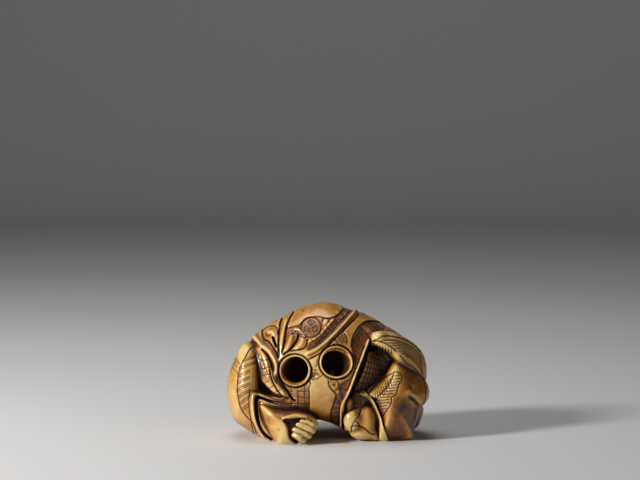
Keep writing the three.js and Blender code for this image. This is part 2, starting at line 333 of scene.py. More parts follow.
backForm = {
    "centre": (0.5, 13), "depth": 1.5, "half": 12, "far": 8.4,
    "outline": [(-17.4, 16), (-16, 21.3), (-13.2, 24), (-9, 26.5), (-5, 28.2), (-1, 29.05), (3, 28.3),
                (7, 27), (11, 25), (14.5, 22.3), (17.3, 18), (18, 12), (16.5, 6), (12, 3), (5, 2.4),
                (-2, 2.6), (-9, 3), (-13.5, 4.6), (-16.5, 9)],
    "holes": [{"at": (-6.8, 14.9), "rim": 3, "towards": 1},
              {"at": (1.6, 16.65), "rim": 3.12, "towards": -1}],
    "bore": {"radii": (2.75, 2.5), "start": 2.2, "lead": 1.3, "run": 6.8, "shift": 4.2, "endHeight": 15.7},
    "lap": ((0.8, 4.6, 9), (8.5, 7.2, 6)),
    "passage": (-3.8, -1, 8.6, 6),        # x, v, half width and half height of the hollow under the belly
    "farPassage": (0.8, -1, 5.4, 6),
}


def robeMap():
    m = ReliefMap()
    # the plain back lies over the rest: everything under its hem is a little lower
    m.lift([(-8.6, 24), (-7, 24), (-6, 24.3), (-5.3, 25), (-4.4, 25.65), (-3, 26), (-1.6, 26.05),
        (-0.5, 25.8), (0.5, 25.75), (1.3, 26.05), (2, 26.6), (2.6, 27.2), (3.1, 28), (3.4, 30), (-6.9, 30),
        (-7.3, 27), (-8.4, 25)], 0.18, 0.25)
    m.groove([(-8.2, 23.6), (-7, 23.95), (-6, 24.2), (-5.3, 24.9), (-4.4, 25.55), (-3, 25.9), (-1.6, 25.95),
        (-0.5, 25.7), (0.5, 25.65), (1.3, 25.95), (2.1, 26.5), (2.7, 27.2), (3.1, 28), (3.2, 30)],
        0.26, 0.2)
    m.groove([(-5.45, 27.1), (-5.2, 27.4), (-4.95, 27.5)], 0.26, 0.12, 0.9, taper=0.2)    # a nick
    # long folds fanning out above the left hole
    m.groove([(-8.9, 27.8), (-9, 26.6), (-9.8, 25.2), (-10.1, 23.5), (-10.2, 21), (-10.15, 19),
        (-9.95, 17.9)], 0.5, 0.7, taper=0.12)
    m.groove([(-6.8, 28.6), (-6.95, 27.6), (-7.8, 26), (-8.4, 24.5), (-8.7, 23), (-8.9, 21), (-9.2, 19.5),
        (-9.5, 18.3)], 0.45, 0.6, taper=0.12)
    m.groove([(-6.1, 22.2), (-6.3, 21.3), (-6.9, 20.3), (-7.7, 19.3), (-9, 18.3)], 0.6, 0.6)
    m.ridge([(-8.6, 26), (-9.3, 23), (-9.75, 19)], 1.1, 0.3, taper=0.2)
    m.ridge([(-7.6, 22), (-7.9, 20.8), (-8.6, 19)], 1.7, 0.35)
    m.ridge([(-5.2, 21.4), (-5.5, 20.5), (-6.3, 19.6)], 1.5, 0.3)
    m.groove([(-4.2, 21.2), (-4.4, 20.2), (-5, 19.4), (-6.4, 19.1), (-7.6, 18.9)], 0.4, 0.4)
    m.groove([(-4.6, 21.6), (-5.6, 21.9), (-6.1, 22.4), (-7.2, 22.5), (-8.1, 22)], 0.35, 0.3)
    # the hooked fold at the shoulder
    m.groove([(-13.6, 23.2), (-13.1, 23.7), (-12.4, 24.1), (-11.5, 24.2), (-10.9, 24), (-10.5, 23.3),
        (-10.3, 22.4)], 0.35, 0.3)
    m.groove([(-11.6, 22), (-11.3, 21.6), (-11, 20.7), (-10.5, 19.5)], 0.75, 1.1, 1, taper=0.2)
    m.groove([(-12.9, 21.2), (-12.2, 20.8), (-11.5, 20), (-11, 19.2), (-10.5, 18.5), (-10.2, 17.6)],
        0.5, 0.6)
    m.ridge([(-12.3, 22.9), (-11.6, 22.9), (-11.2, 22.3)], 1.4, 0.4)
    m.groove([(-13.7, 23.4), (-13.6, 22.2), (-13.2, 21.2)], 0.5, 0.6)
    # two rolled folds down the left, with the brocade band between them
    m.ridge([(-15.4, 22), (-14.7, 21.1), (-13.9, 20.2), (-13, 19.6), (-12, 18.6), (-11.3, 17.5),
        (-10.8, 16.4), (-10.6, 15.2), (-10.7, 14.2)], 1.4, 0.6)
    m.groove([(-13.6, 19.2), (-12.7, 18.3), (-12, 17.1), (-11.5, 15.8), (-11.3, 14.6), (-11.1, 13.6),
        (-10.4, 12.3)], 0.5, 0.5)
    m.ridge([(-11.5, 15.4), (-11.1, 13.6), (-10.5, 12.3), (-9.7, 11.1), (-8.9, 10.2), (-8, 9.5)],
        1.25, 0.7, taper=0.2)
    m.groove([(-10.2, 14.6), (-9.8, 13.2), (-9.1, 12), (-8.3, 10.8), (-7.4, 9.3), (-6.8, 8.8)], 0.55, 0.7)
    m.groove([(-12, 15), (-11.7, 13.8), (-11.2, 12.5), (-10.4, 11), (-9.5, 9.9), (-8.2, 9.2)], 0.4, 0.4)
    m.grooves([[(-13.8, 17.9), (-13.1, 15.7), (-12.2, 13.9), (-11.3, 12.2), (-9.8, 10.3)],
        [(-12.5, 17), (-11.75, 14.8), (-10.9, 12.7), (-9.7, 10.8)]], 0.22, 0.15, 0.85)
    m.grooves([[(-14.1, 16.95), (-12.2, 17.2)], [(-13.8, 15.1), (-11.7, 15.7)],
        [(-13.6, 13.75), (-11.4, 14.3)], [(-13.1, 12.4), (-11, 13.1)], [(-12.4, 11.2), (-10.4, 12)],
        [(-11.5, 10.2), (-9.7, 11)]], 0.22, 0.15, 0.85, straight=True)
    m.lift([(-15.2, 19.6), (-13.8, 19.6), (-12.4, 17.5), (-11.6, 15), (-11.2, 13.4), (-10, 11.6),
        (-8.6, 10), (-10.4, 9.6), (-12, 10.6), (-13.4, 12), (-14.6, 14), (-15.2, 16)], 0.9, 1.4)
    # narrow dark pocket between the sleeve and the folds
    m.level([(-15.8, 14.2), (-15.5, 13), (-14.8, 12), (-13.8, 11), (-12.7, 10.3), (-11.5, 9.9), (-10, 9.5),
        (-9.4, 9.6), (-10, 9.9), (-11, 10.2), (-12, 11), (-13, 12), (-14.2, 13.2), (-15.2, 14.6)],
        -1.7, 0.6)
    # crest on the back, with two ribbon ends
    c = np.array([-3.5, 23.8])
    ring = circle(c, 2.1, 24)
    m.groove(ring, 0.3, 0.28, closed=True)
    m.lift(ring, 0.08, 0.3)
    for a in np.radians([90, 210, 330]):
        d, n = np.array([math.cos(a), math.sin(a)]), np.array([-math.sin(a), math.cos(a)])
        m.groove([c + 0.3 * d, c + 1.5 * d], 0.26, 0.16, 0.9, straight=True)
        for side in (-1, 1):
            m.groove([c + 0.3 * d, c + 0.95 * d + side * 0.62 * n, c + 1.6 * d], 0.26, 0.16, 0.9)
    m.ridge([(-6.9, 23.4), (-6, 23.3), (-5.2, 22.5), (-4.8, 22)], 0.7, 0.3)
    m.grooves([[(-6.9, 23), (-6, 22.8), (-5.4, 22.2)], [(-6.3, 23.9), (-5.8, 23.6), (-5.4, 22.9)]],
        0.25, 0.25)
    m.lift([(-1, 24.6), (-0.8, 25.4), (-0.3, 25.5), (0, 25.2), (-0.5, 24.3)], 0.25, 0.25)
    m.groove([(-1.3, 24.9), (-1, 25.5), (-0.2, 25.6), (0.5, 25.4)], 0.25, 0.2)
    # sash: a brocade band between a thin and a broad ridge
    m.level([(1.4, 25.9), (0.3, 24.6), (-1, 23), (-2.1, 21.9), (-4.1, 20.6), (-4.3, 19), (-2.6, 19.5),
        (0, 21.6), (2.2, 23.9), (5.2, 27.4), (6.2, 29.5), (3.2, 29.5), (2.9, 27.4)], -0.14, 0.3)
    m.ridge([(1.2, 25.5), (0.2, 24.4), (-0.9, 23.1), (-2, 22), (-3, 21.3), (-4.1, 20.7)], 0.8, 0.28)
    m.groove([(1.9, 24.9), (1, 23.8), (-0.3, 22.4), (-1.5, 21.2), (-2.8, 20.4), (-4, 19.8)], 0.26, 0.2)
    m.ridge([(6.3, 29.4), (5.4, 27.2), (4, 25.5), (2.6, 23.9), (1.3, 22.5), (0, 21.2), (-1.3, 20.1),
        (-2.7, 19.1), (-4.2, 18.4)], 1.15, 0.42)
    m.groove([(7.6, 29.4), (6.5, 27.1), (5.8, 25.9), (4.6, 24.6), (3.2, 23.2), (1.9, 22), (0.7, 20.7),
        (-0.6, 19.3), (-2, 18.2), (-4, 17.2)], 0.36, 0.4)
    m.groove([(4.9, 27.7), (3.5, 26.1), (2, 24.4), (0.6, 22.8), (-0.7, 21.6), (-2.2, 20.3), (-4, 19.3)],
        0.3, 0.3, 0.9)
    for k in range(11):
        u = k / 10
        p = np.array([4.6, 28.2]) * (1 - u) + np.array([-2.6, 20.6]) * u
        m.grooves([[p + (-0.95, 0.75), p + (-0.4, 0.2)], [p + (-0.1, -0.1), p + (0.35, -0.6)]],
            0.22, 0.15, 0.9, straight=True)
    # plain patch and ribs between the sash and the right hole
    m.grooves([[(1, 21.6), (0.3, 20.8), (-0.2, 20)], [(1.2, 21.5), (1.7, 20.9), (2.1, 20.4)]], 0.25, 0.2)
    m.hatch(4, [(2, 22.2), (2.3, 21.2), (2.9, 20.4)], [(0.42, 0.25), (0.38, 0.15), (0.28, 0)],
        0.22, 0.2, 0.8, taper=0.15)
    m.groove([(3, 23.1), (3.6, 22.2), (3.9, 21.2), (3.8, 20.4)], 0.28, 0.25)
    # the dark brocade arch to the right of it
    m.level([(8.7, 25.2), (7.5, 24.95), (6.5, 24.15), (5.8, 23.2), (5.2, 22.2), (4.9, 21), (4.7, 19.8),
        (4.9, 18.5), (5.1, 17), (5.4, 16), (4.9, 14.6), (4, 13.3), (3, 12.6), (2.2, 11.6), (3, 9), (5, 12),
        (9, 20), (12, 24), (10.5, 25)], -0.25, 0.3)
    m.groove([(10.5, 25), (8.7, 25.25), (7.5, 24.95), (6.5, 24.15), (5.8, 23.2), (5.2, 22.2), (4.8, 21),
        (4.7, 19.8)], 0.35, 0.3)
    arch = curveThrough([(8.7, 25.2), (7.5, 24.95), (6.5, 24.15), (5.8, 23.2), (5.2, 22.2), (4.8, 21),
        (4.7, 19.8), (4.9, 18.5), (5.2, 17)])
    for k, p in enumerate(arch[4::3]):
        m.groove([p + (0.25, -0.1), p + (0.8, -0.3), p + (1.3 + 0.25 * (k % 3), -0.8)],
            0.2, 0.13, 0.7, taper=0.15)
    m.grooves([[(6.6, 24), (7.4, 23), (8.3, 22.3)], [(7.4, 24.6), (8.2, 24), (9, 23.2)]], 0.22, 0.18, 0.8)
    m.groove([(7.4, 20), (6.9, 18.8), (6.4, 17.4), (5.9, 16.1), (5.4, 15), (4.9, 13.6), (4.4, 12.2),
        (3.8, 10.8)], 0.3, 0.3)
    m.groove([(5.6, 18.3), (5.5, 17), (5.3, 15.8), (4.7, 14.7), (4.1, 13.9)], 0.25, 0.2, 0.8)
    m.hatch(5, [(5, 17.7), (5.5, 17.9)], [(0.1, -0.8), (0.12, -0.8)], 0.2, 0.12, 0.6, straight=True)
    # thin standing edge of the robe, then the deep recess beyond it
    m.level([(8.6, 21.4), (8.3, 20.4), (7.75, 19.2), (7.3, 17.9), (6.75, 16.5), (6.2, 15.1), (5.6, 13.5),
        (5.05, 12), (4.6, 10.9), (4.1, 9.8), (3.6, 8.8), (3.35, 7.5), (3.3, 5), (3.4, 3), (4.5, 1), (12, 1),
        (14, 8), (16, 17), (14, 21), (10, 22)], -4.3, 0.3)
    m.lift([(8.25, 18.9), (7.7, 17), (7.1, 15.2), (6.4, 13.7), (5.9, 12.5), (5.2, 11), (7, 10),
        (10.4, 12.3), (11.6, 14), (12.4, 15.8), (12.6, 17.6), (11, 19.4)], 1.3, 0.7)
    m.hatch(7, [(5.9, 12.7), (7.4, 12.4), (10.6, 12.1)], [(0.35, 1.12), (0.4, 1.05), (0.35, 0.95)],
        0.25, 0.2, 0.8)
    m.hatch(6, [(6.6, 11.2), (7.8, 14.5), (8.7, 18.5)], [(0.75, 0), (0.62, 0), (0.6, 0)], 0.25, 0.2, 0.8)
    m.ridge([(8.35, 21.2), (7.85, 20), (7.35, 18.7), (6.8, 17.2), (6.2, 15.8), (5.65, 14.4), (5.1, 12.9),
        (4.6, 11.6), (4.1, 10.4), (3.5, 9.2), (2.95, 8), (2.65, 6.5), (2.6, 5), (2.6, 2.5)], 0.65, 0.6)
    # belly: plain, with the patterned strip along its right side
    m.lift([(-3.8, 13.2), (-3.8, 10), (-3.8, 7), (-3.9, 3), (0.3, 3), (0.5, 5.5), (0.65, 7), (1.1, 8.4),
        (1.45, 9.4), (1.45, 10.2), (0.9, 10.9), (0.3, 11.7), (0.05, 12.6), (0, 13.2), (-1.2, 13.8),
        (-2.6, 13)], 0.1, 0.4)
    m.groove([(-3.85, 13), (-3.6, 12.2), (-3.9, 11.4), (-3.85, 9.5), (-3.9, 6.5), (-4, 4)], 0.3, 0.3)
    m.groove([(0, 13), (0.1, 12.2), (0.4, 11.5), (1, 10.8), (1.5, 10.3), (1.55, 9.6), (1.3, 8.8),
        (0.95, 7.6), (0.6, 6.7), (0.45, 5.6), (0.5, 4)], 0.32, 0.3)
    m.groove([(2.3, 9), (2.3, 7.5), (2.2, 6), (2.15, 4.5), (2.1, 3)], 0.25, 0.25)
    for v, ink in ((9.2, 0.5), (8.6, 0.8), (7.45, 0.9), (7.15, 0.8), (6.4, 1), (5.5, 1), (5.25, 0.7),
                   (4.4, 0.8)):
        m.groove([(0.85 + 0.1 * (v - 5), v), (1.5 + 0.1 * (v - 5), v - 0.12), (2.15, v - 0.05)],
            0.24, 0.15, ink, taper=0.1)
    for a in np.radians([60, 120, 180]):
        m.groove([(1.25 - 0.2 * math.cos(a), 12 - 0.2 * math.sin(a)),
            (1.25 + 0.65 * math.cos(a), 12 + 0.75 * math.sin(a))], 0.25, 0.15, 0.9, straight=True)
    m.groove([(0.35, 12.6), (0.7, 13), (1.3, 13.1), (1.9, 12.7), (2.1, 12), (1.9, 11.3), (1.4, 10.9)],
        0.25, 0.2)
    m.groove([(2.1, 11.3), (2.6, 11.5), (3.2, 11.3), (3.7, 10.9)], 0.25, 0.15, 0.8)
    m.ridge([(1.8, 10.5), (2.4, 10.7), (3.2, 10.6)], 0.3, 0.15)
    # checked cloth under the left hole, ribs and patches between the two holes
    for x in (-7.5, -6.15, -4.75, -4.4):
        m.groove([(x, 12.2), (x + 0.02, 10), (x + 0.1, 7)], 0.2, 0.18, 0.8)
    for v in (10.75, 9.5, 8.15):
        m.groove([(-7.9, v), (-6, v - 0.03), (-3.9, v - 0.1)], 0.22, 0.18, 0.8)
    m.lift([(-3.8, 17.1), (-2.7, 17.2), (-2.3, 16.9), (-2.5, 16), (-3.1, 15.7), (-3.5, 16.2)], 0.25, 0.25)
    m.hatch(4, [(-3.8, 13.35), (-3.1, 14.2), (-2.5, 14.9)], [(0.32, 0.04), (0.28, 0), (0.22, -0.28)],
        0.2, 0.18, 0.8)
    m.groove([(-3.9, 13.2), (-2.8, 13.1), (-1.9, 13.4), (-1.2, 14)], 0.22, 0.2, 0.8)
    m.groove([(-3.3, 15.2), (-2.7, 15.1), (-2.2, 15)], 0.25, 0.2, 0.8)
    # stain that settled in the brocade and in the low cloth, with painted light on the belly and painted
    # shade below it
    m.stainAndPaintedLight([(1.4, 25.9), (-1, 23), (-4.1, 20.3), (-4.2, 19), (-2.2, 20), (0.6, 22.6), (3.5, 26), (4.8, 28),
        (3.2, 29)], 0.1, 0.6)
    m.stainAndPaintedLight(ring, 0.2, 0.5)
    m.stainAndPaintedLight([(6.9, 29), (5.9, 26.9), (4.5, 25.1), (3.1, 23.5), (1.8, 22.1), (0.4, 20.7), (-0.9, 19.6),
        (-2.4, 18.6), (-4.2, 17.8), (-4.2, 19), (-3, 19.6), (-1.7, 20.6), (-0.4, 21.7), (0.9, 22.9),
        (2.1, 24.2), (3.5, 25.9), (4.9, 27.5), (5.7, 29.3)], 0.24, 0.4)
    # painted light: the plain belly is made paler, as if more brightly lit
    m.stainAndPaintedLight([(-3.4, 12.6), (-0.2, 12.8), (1, 10.4), (0.4, 7.4), (-0.4, 6.2), (-3.4, 7)], -0.24, 2.2)
    m.stainAndPaintedLight([(8.7, 25.2), (6.5, 24.1), (5.2, 22.2), (4.8, 20), (4.9, 17), (4.3, 13), (5.5, 14.5),
        (6.8, 17.5), (8.3, 20.6), (8.8, 21.6), (10.5, 24)], 0.27, 0.6)
    m.stainAndPaintedLight([(6.8, 23.9), (8.2, 22.5), (9, 23), (7.7, 24.4)], -0.3, 0.3)
    m.stainAndPaintedLight([(2.2, 12.6), (4.2, 13.2), (4.8, 12), (3.6, 9.5), (2.6, 8), (1.6, 9), (2, 11)], 0.3, 0.6)
    m.stainAndPaintedLight([(-14.2, 18), (-13.4, 19.4), (-12.2, 17.4), (-11.4, 14.6), (-10.2, 12.6), (-8.6, 10.4),
        (-10.4, 10.6), (-12.4, 12.6), (-13.8, 15.4)], 0.04, 0.8)
    m.stainAndPaintedLight([(8.4, 19), (6.4, 13.8), (5.2, 11), (7, 10), (10.4, 12.3), (12, 15.8), (12.4, 17.6),
        (11, 19.4)], 0.2, 0.6)
    m.stainAndPaintedLight([(-8, 11.4), (-4, 11.4), (-3.8, 7.6), (-6, 7.6), (-8, 9)], 0.12, 0.6)
    # painted shade along the bottom of the belly, over the hollow beneath it
    m.stainAndPaintedLight([(-4.4, 6.4), (-1.5, 5.4), (0.4, 5.6), (1.6, 4.4), (1, 2.4), (-4, 2.4)], 0.4, 1.6)
    m.stainAndPaintedLight([(0.7, 9), (2, 9), (2.1, 3), (0.6, 3)], 0.14, 0.6)
    m.stainAndPaintedLight([(-9.8, 24), (-8.8, 24.6), (-6.2, 21), (-7.4, 19), (-9.9, 18.3)], 0.12, 0.8)
    m.stainAndPaintedLight([(-14, 22), (-12.4, 22.4), (-10.4, 20), (-10.4, 17.8), (-12.4, 19.6)], 0.14, 0.8)
    # raised rims of the two holes
    for hole in backForm["holes"]:
        centre, outer = hole["at"], hole["rim"]
        m.level(circle(centre, outer), 0, 0.3)
        m.groove(circle(centre, outer + 0.42), 0.45, 0.45, closed=True)
        m.ridge(circle(centre, outer), 0.85, 0.55, closed=True)
        m.stainAndPaintedLight(circle(centre, outer + 0.4), 0.8, 0.4)
    return m


def sleeveMap():
    m = ReliefMap()
    # left sleeve: rolled border, engraved line, hatching
    border = np.array([(-15, 20.1), (-15.6, 19.7), (-16.3, 18.9), (-17, 17.5), (-17.8, 16.2), (-18.2, 15),
        (-18.45, 13.5), (-18.6, 12), (-18.5, 10.5), (-18.25, 9), (-17.9, 7.5), (-17.2, 6.2), (-16.2, 5.1),
        (-15.4, 4.2), (-15, 3.2), (-14.7, 2.2)])
    m.groove(border, 0.3, 0.25)
    for k, v in enumerate((17.2, 15.6, 14.0, 12.5, 11.1, 9.7, 8.4, 7.2)):
        right = -14.6 if k < 2 else -16
        for low in (0, 0.4):
            left = np.interp(v - low, border[::-1, 1], border[::-1, 0]) + 0.1
            m.groove([(left, v - low), (right, v - low + (0.32 + 0.06 * k) * (right - left))],
                0.22, 0.15, 0.85, straight=True)
    # engraved tie across the rolled border
    m.grooves([[(-19.5, 17.8), (-18.8, 17.1), (-18.15, 16.3)], [(-19.8, 15.6), (-19.1, 15), (-18.4, 14.3)],
        [(-19.6, 17), (-19.1, 16.6), (-18.7, 16.1)], [(-19.7, 16.4), (-19.2, 16), (-18.8, 15.6)]],
        0.22, 0.14, 0.85)
    # cuff: the two layers of cloth round the opening, each with a dark groove inside it
    m.groove([(-15.2, 1.6), (-15.7, 4.5), (-16.05, 7), (-16.1, 9), (-15.9, 10.9)], 0.28, 0.25)
    m.groove([(-15.9, 10.95), (-14.8, 10.8), (-13.6, 10.45), (-12.4, 10.1)], 0.25, 0.2, taper=0.1)
    m.ridge([(-13.1, 1.2), (-14.3, 3.2), (-15, 5.5), (-15.3, 7.8), (-15.1, 10.1), (-13.2, 9.7),
        (-11.5, 9.1), (-10, 8.6), (-8.2, 8.4), (-6.6, 8.5)], 0.8, 0.35)
    m.groove([(-11.6, 0.9), (-12.9, 1.9), (-13.7, 2.9), (-14.25, 4.1), (-14.65, 5.6), (-14.8, 7.6),
        (-14.7, 9.3), (-13.9, 9.45), (-13, 9.1), (-11.5, 8.6), (-10, 8.3), (-8.5, 8.15), (-6.4, 8.2)],
        0.75, 1)
    m.ridge([(-12.4, 2.4), (-13.3, 3.6), (-13.9, 5.2), (-14.2, 7.2), (-14.1, 8.9), (-12.8, 8.55),
        (-11.2, 8.05), (-9.4, 7.65), (-7.6, 7.55), (-5.6, 7.3)], 0.5, 0.3)
    # upper right sleeve: rolled top, leaf veins, folds under it
    m.groove([(9.3, 21.1), (10.2, 21.3), (11.1, 21.9), (12.6, 22), (14.2, 21.7), (15.6, 21.3), (16.9, 20.7),
        (18, 19.9), (18.9, 18.9)], 0.35, 0.3, 0.8)
    m.groove([(9.2, 20.9), (10.3, 20.95), (11.2, 20.7), (12.2, 20.2), (13.1, 19.6), (13.9, 18.9)],
        0.35, 0.35)
    for k in range(7):
        u = k / 6
        m.groove([(10.8 + 4.9 * u, 21 - 3 * u), (13.4 + 3.4 * u, 21.1 - 3.5 * u),
            (16.4 + 1.7 * u, 20.2 - 3.8 * u), (18.3 + 0.7 * u, 18.9 - 3.7 * u),
            (19.4 + 0.2 * u, 17.4 - 3.3 * u)], 0.42, 0.24, 0.62, taper=0.08)
    m.hatch(7, [(9.4, 20.7), (9.45, 20), (9.65, 19.3)], [(0.58, -0.23), (0.58, -0.23), (0.58, -0.2)],
        0.28, 0.25, 0.8, taper=0.2)
    # lower right sleeve: rim line, big leaf, hem band, folds
    m.groove([(14.7, 18), (15.5, 17.2), (16.1, 16.5), (17, 16), (18, 15.2), (18.8, 14.2), (19.5, 13.1),
        (19.9, 12), (20, 10.6), (19.9, 9.4), (19.6, 8.2)], 0.28, 0.25)
    leafLeft = [(13.5, 14.8), (12.4, 14.05), (11.5, 13.5), (10.5, 12.9), (9.8, 12.3), (9.2, 11.6),
        (8.6, 10.8), (8.2, 10.2), (8.8, 9.6), (9.5, 8.9)]
    leafRight = [(13.5, 14.8), (14.5, 14.5), (15.05, 13.9), (15, 13), (14.4, 12.1), (14.15, 11.1),
        (13.8, 10.2), (13, 9.5), (12.9, 8.7), (12.7, 8), (12.35, 7.3), (11.7, 6.6), (11.2, 5.8),
        (10.9, 5.3)]
    m.grooves([leafLeft, leafRight], 0.28, 0.25)
    rib = curveThrough([(13.4, 14.4), (12.9, 13.1), (12.2, 12), (11.5, 11.1), (10.7, 10.2), (9.9, 9.4),
        (9.45, 8.9), (9.9, 7.7), (10.4, 6.5), (10.85, 5.4)])
    m.groove(rib, 0.32, 0.3, straight=True)
    rightEdge = curveThrough(leafRight)
    for v in np.arange(13.9, 5.8, -0.62):
        x0, x1 = [np.interp(at, edge[::-1, 1], edge[::-1, 0]) for at,
            edge in ((v, rib), (v + 0.15, rightEdge))]
        if x1 - x0 > 0.5:
            m.groove([(x0 + 0.12, v - 0.12), (0.5 * (x0 + x1), v - 0.02), (x1 - 0.25, v + 0.18)],
                0.26, 0.2, 0.8, taper=0.12)
    for u in np.linspace(0.12, 0.9, 9):
        top = np.array([8.45 + 4.5 * u, 10.3 + 4 * u - 0.4 * math.sin(3.1 * u)])
        m.groove([top + (0.12, -0.25), top + (0.25, -1.2 - 0.3 * math.sin(3.1 * u)),
            top + (0.55, -1.5 - 0.75 * math.sin(3.1 * u))], 0.26, 0.2, 0.8, taper=0.12)
    m.lift([(6.4, 10.4), (7, 9.6), (7.6, 8.8), (8.2, 7.9), (8.7, 6.9), (9.1, 6), (9.4, 5), (9.65, 4),
        (9.9, 3), (10.2, 2), (10.3, 0), (12.4, 0), (11.9, 2), (11.5, 3), (11.15, 4), (10.9, 5.3),
        (10.5, 6.4), (10, 7.6), (9.5, 8.6), (8.9, 9.4), (8, 10.3), (7.3, 10.8)], 0.6, 0.4)
    m.groove([(7.6, 10.8), (8.1, 10.25), (8.9, 9.4), (9.55, 8.5), (10.1, 7.4), (10.55, 6.3), (10.95, 5.3),
        (11.2, 4), (11.55, 3), (12, 2), (12.2, 1)], 0.28, 0.3)
    m.groove([(16.4, 9.8), (15.5, 8.2), (14.6, 6.6), (13.8, 5)], 2.4, 0.2, 0, taper=0.4)
    m.groove([(16, 10.1), (17.3, 9.1), (18.2, 8), (18.6, 7.2)], 1.2, 0.5, 0.3, taper=0.4)
    m.groove([(16.7, 12.2), (16.9, 11.5), (17.3, 10.9)], 0.8, 0.12, 0, taper=0.3)
    m.ridge([(15.5, 9.8), (16.4, 10.5), (17.4, 10), (18.2, 9.2)], 1.6, 0.15, taper=0.3)
    m.groove([(17.95, 7.8), (17.85, 6.3), (17.65, 5), (17.5, 4.2)], 0.3, 0.25, 0.6, taper=0.2)
    # where handling rubbed it pale and where it stayed dark, with painted shade under the left sleeve and
    # on the right side, and painted light on lit tops
    # painted shade on the dark underside of the left sleeve's lower edge
    m.stainAndPaintedLight([(-20.6, 6.2), (-19.4, 4.9), (-17.3, 3.1), (-15.4, 1.7), (-13.9, 0.7), (-13.6, -0.4),
        (-16, 0.4), (-19, 2.6), (-21.4, 5.4)], 0.6, 0.5)
    # the rolled border rubbed pale, and painted light on the lit left side
    m.stainAndPaintedLight([(-17, 20.4), (-18.4, 16), (-19, 12), (-18.6, 8), (-17, 5), (-18.4, 4.4), (-20.4, 7), (-21, 12),
        (-19.6, 17.6)], -0.14, 1.2)
    m.stainAndPaintedLight([(-18.2, 15), (-17.2, 17.6), (-15.2, 19.8), (-14.2, 18), (-15.4, 14.4), (-15.8, 11), (-16.2, 6),
        (-17.6, 7.4), (-18.4, 11)], 0.1, 0.6)
    m.stainAndPaintedLight([(6.8, 10.1), (8, 8.4), (9, 6.4), (9.8, 3.6), (10.4, 0.6), (12.2, 0.6), (11.2, 3.6), (10.2, 7),
        (9, 9.4), (7.8, 10.4)], -0.36, 0.4)
    # painted shade on the right sleeve, which faces away from the key light
    m.stainAndPaintedLight([(14, 18), (16.2, 17), (19.6, 12.6), (20.8, 10), (19, 8.6), (16, 11), (13.6, 15)], 0.2, 2.2)
    # painted light on the top of the upper right sleeve, which is lit from above
    m.stainAndPaintedLight([(8.9, 22.3), (11, 23), (15, 22.4), (18.6, 19.8), (16, 21), (12.6, 21.9), (10, 21.4)],
        -0.08, 0.8)
    m.stainAndPaintedLight([(10.6, 20.8), (14, 20.6), (17.4, 19), (19.8, 16), (19.6, 13), (15.5, 16.4)], -0.08, 0.8)
    # painted shade on the lower right skirt
    m.stainAndPaintedLight([(13, 9), (16, 9.4), (18.4, 7.6), (18, 2), (12.6, 0.6), (12.6, 4)], 0.3, 2.4)
    return m


def handMap():
    m = ReliefMap()
    m.groove([(6.8, 7.5), (6.55, 6.3), (6.1, 5.6), (5.5, 4.8), (5, 4), (4.75, 3.2), (4.7, 2.4)], 0.26, 0.3)
    m.groove([(3.3, 6.1), (4, 6.45), (4.7, 6.9), (5.4, 7.5), (6.2, 7.6), (6.9, 7.7), (7.5, 8.2), (8, 8.6)],
        0.26, 0.3)
    m.grooves([[(5.1, 6.75), (5.8, 6.5), (6.5, 6.3)], [(5.15, 5.9), (5.8, 6.05), (6.5, 6.2)],
        [(6.2, 7.3), (6.5, 6.6), (6.55, 5.7)]], 0.2, 0.15, 0.8, taper=0.2)
    m.groove([(4.7, 3.4), (5.4, 3.75), (6, 3.7), (6.5, 3.55), (7, 3.45), (7.9, 2.8), (8.6, 2.2),
        (9.4, 1.9)], 0.28, 0.35)
    m.groove([(5.8, 4.6), (6.1, 4.2), (6.3, 3.8)], 0.3, 0.3)
    m.hatch(3, [(5.3, 9.3), (5.35, 8.6), (5.6, 7.9)], [(0.6, 0), (0.55, 0), (0.5, 0)],
        0.24, 0.15, 0.7, taper=0.2)
    # fist: the hollow of the palm and the lines between the fingers
    m.level([(-8.9, 4.85), (-8, 5), (-7, 5.15), (-6.2, 5.25), (-5.4, 5.15), (-4.7, 5.05), (-4.6, 4.6),
        (-5.2, 3), (-5.6, 1.4), (-6.2, 0.4), (-6.9, 0.5), (-7.7, 1.3), (-8, 2.2), (-8.1, 3.2), (-8.5, 4.2)],
        -1.2, 0.9)
    m.groove([(-4.35, 5.35), (-3.8, 5), (-3.1, 4.6)], 0.25, 0.25, 0.9, taper=0.15)
    m.ridge([(-9, 5.4), (-7.8, 5.7), (-6.6, 6), (-5.4, 5.8), (-4.4, 5.6)], 0.9, 0.25)
    m.groove([(-10.4, 2.9), (-10, 3), (-9.6, 2.9)], 0.4, 0.12, 0.3, taper=0.3)
    m.grooves([[(-5.6, 4.5), (-4.1, 3.9), (-2.5, 3.3)], [(-6.6, 3.75), (-5, 3), (-3.3, 2.3)],
        [(-7.2, 2.7), (-5.6, 1.95), (-4.1, 1.25)], [(-7.1, 1.6), (-6.4, 1), (-5.7, 0.4)]], 0.3, 0.2)
    # painted shade in the hollow of the palm
    m.stainAndPaintedLight([(-8.9, 5), (-6, 5.2), (-4.2, 4.9), (-5.6, 4.4), (-6.8, 3.8), (-7.5, 2.4), (-6.6, 0.4),
        (-8, 0.4), (-8.4, 3)], 0.4, 0.8)
    m.stainAndPaintedLight([(-5.4, 4.9), (-2.4, 4.2), (-2.4, 3), (-5, 0.2), (-7.2, 1.4), (-7.4, 2.8), (-6.4, 4.2)],
        -0.28, 0.5)
    m.stainAndPaintedLight([(-13.8, 8), (-9, 7), (-3.2, 5.8), (-4.4, 5.2), (-8, 5), (-11, 4.6), (-13.2, 3.4)], 0.26, 1.6)
    m.stainAndPaintedLight([(-11.4, 3.8), (-9.4, 3.8), (-9.2, 1.8), (-10.6, 1.4)], -0.12, 1.6)
    m.stainAndPaintedLight([(4.6, 10), (8.2, 9), (9.6, 5), (9.6, 1.6), (8.6, 4), (7.8, 7.4), (5.4, 8)], 0.22, 1)
    return m


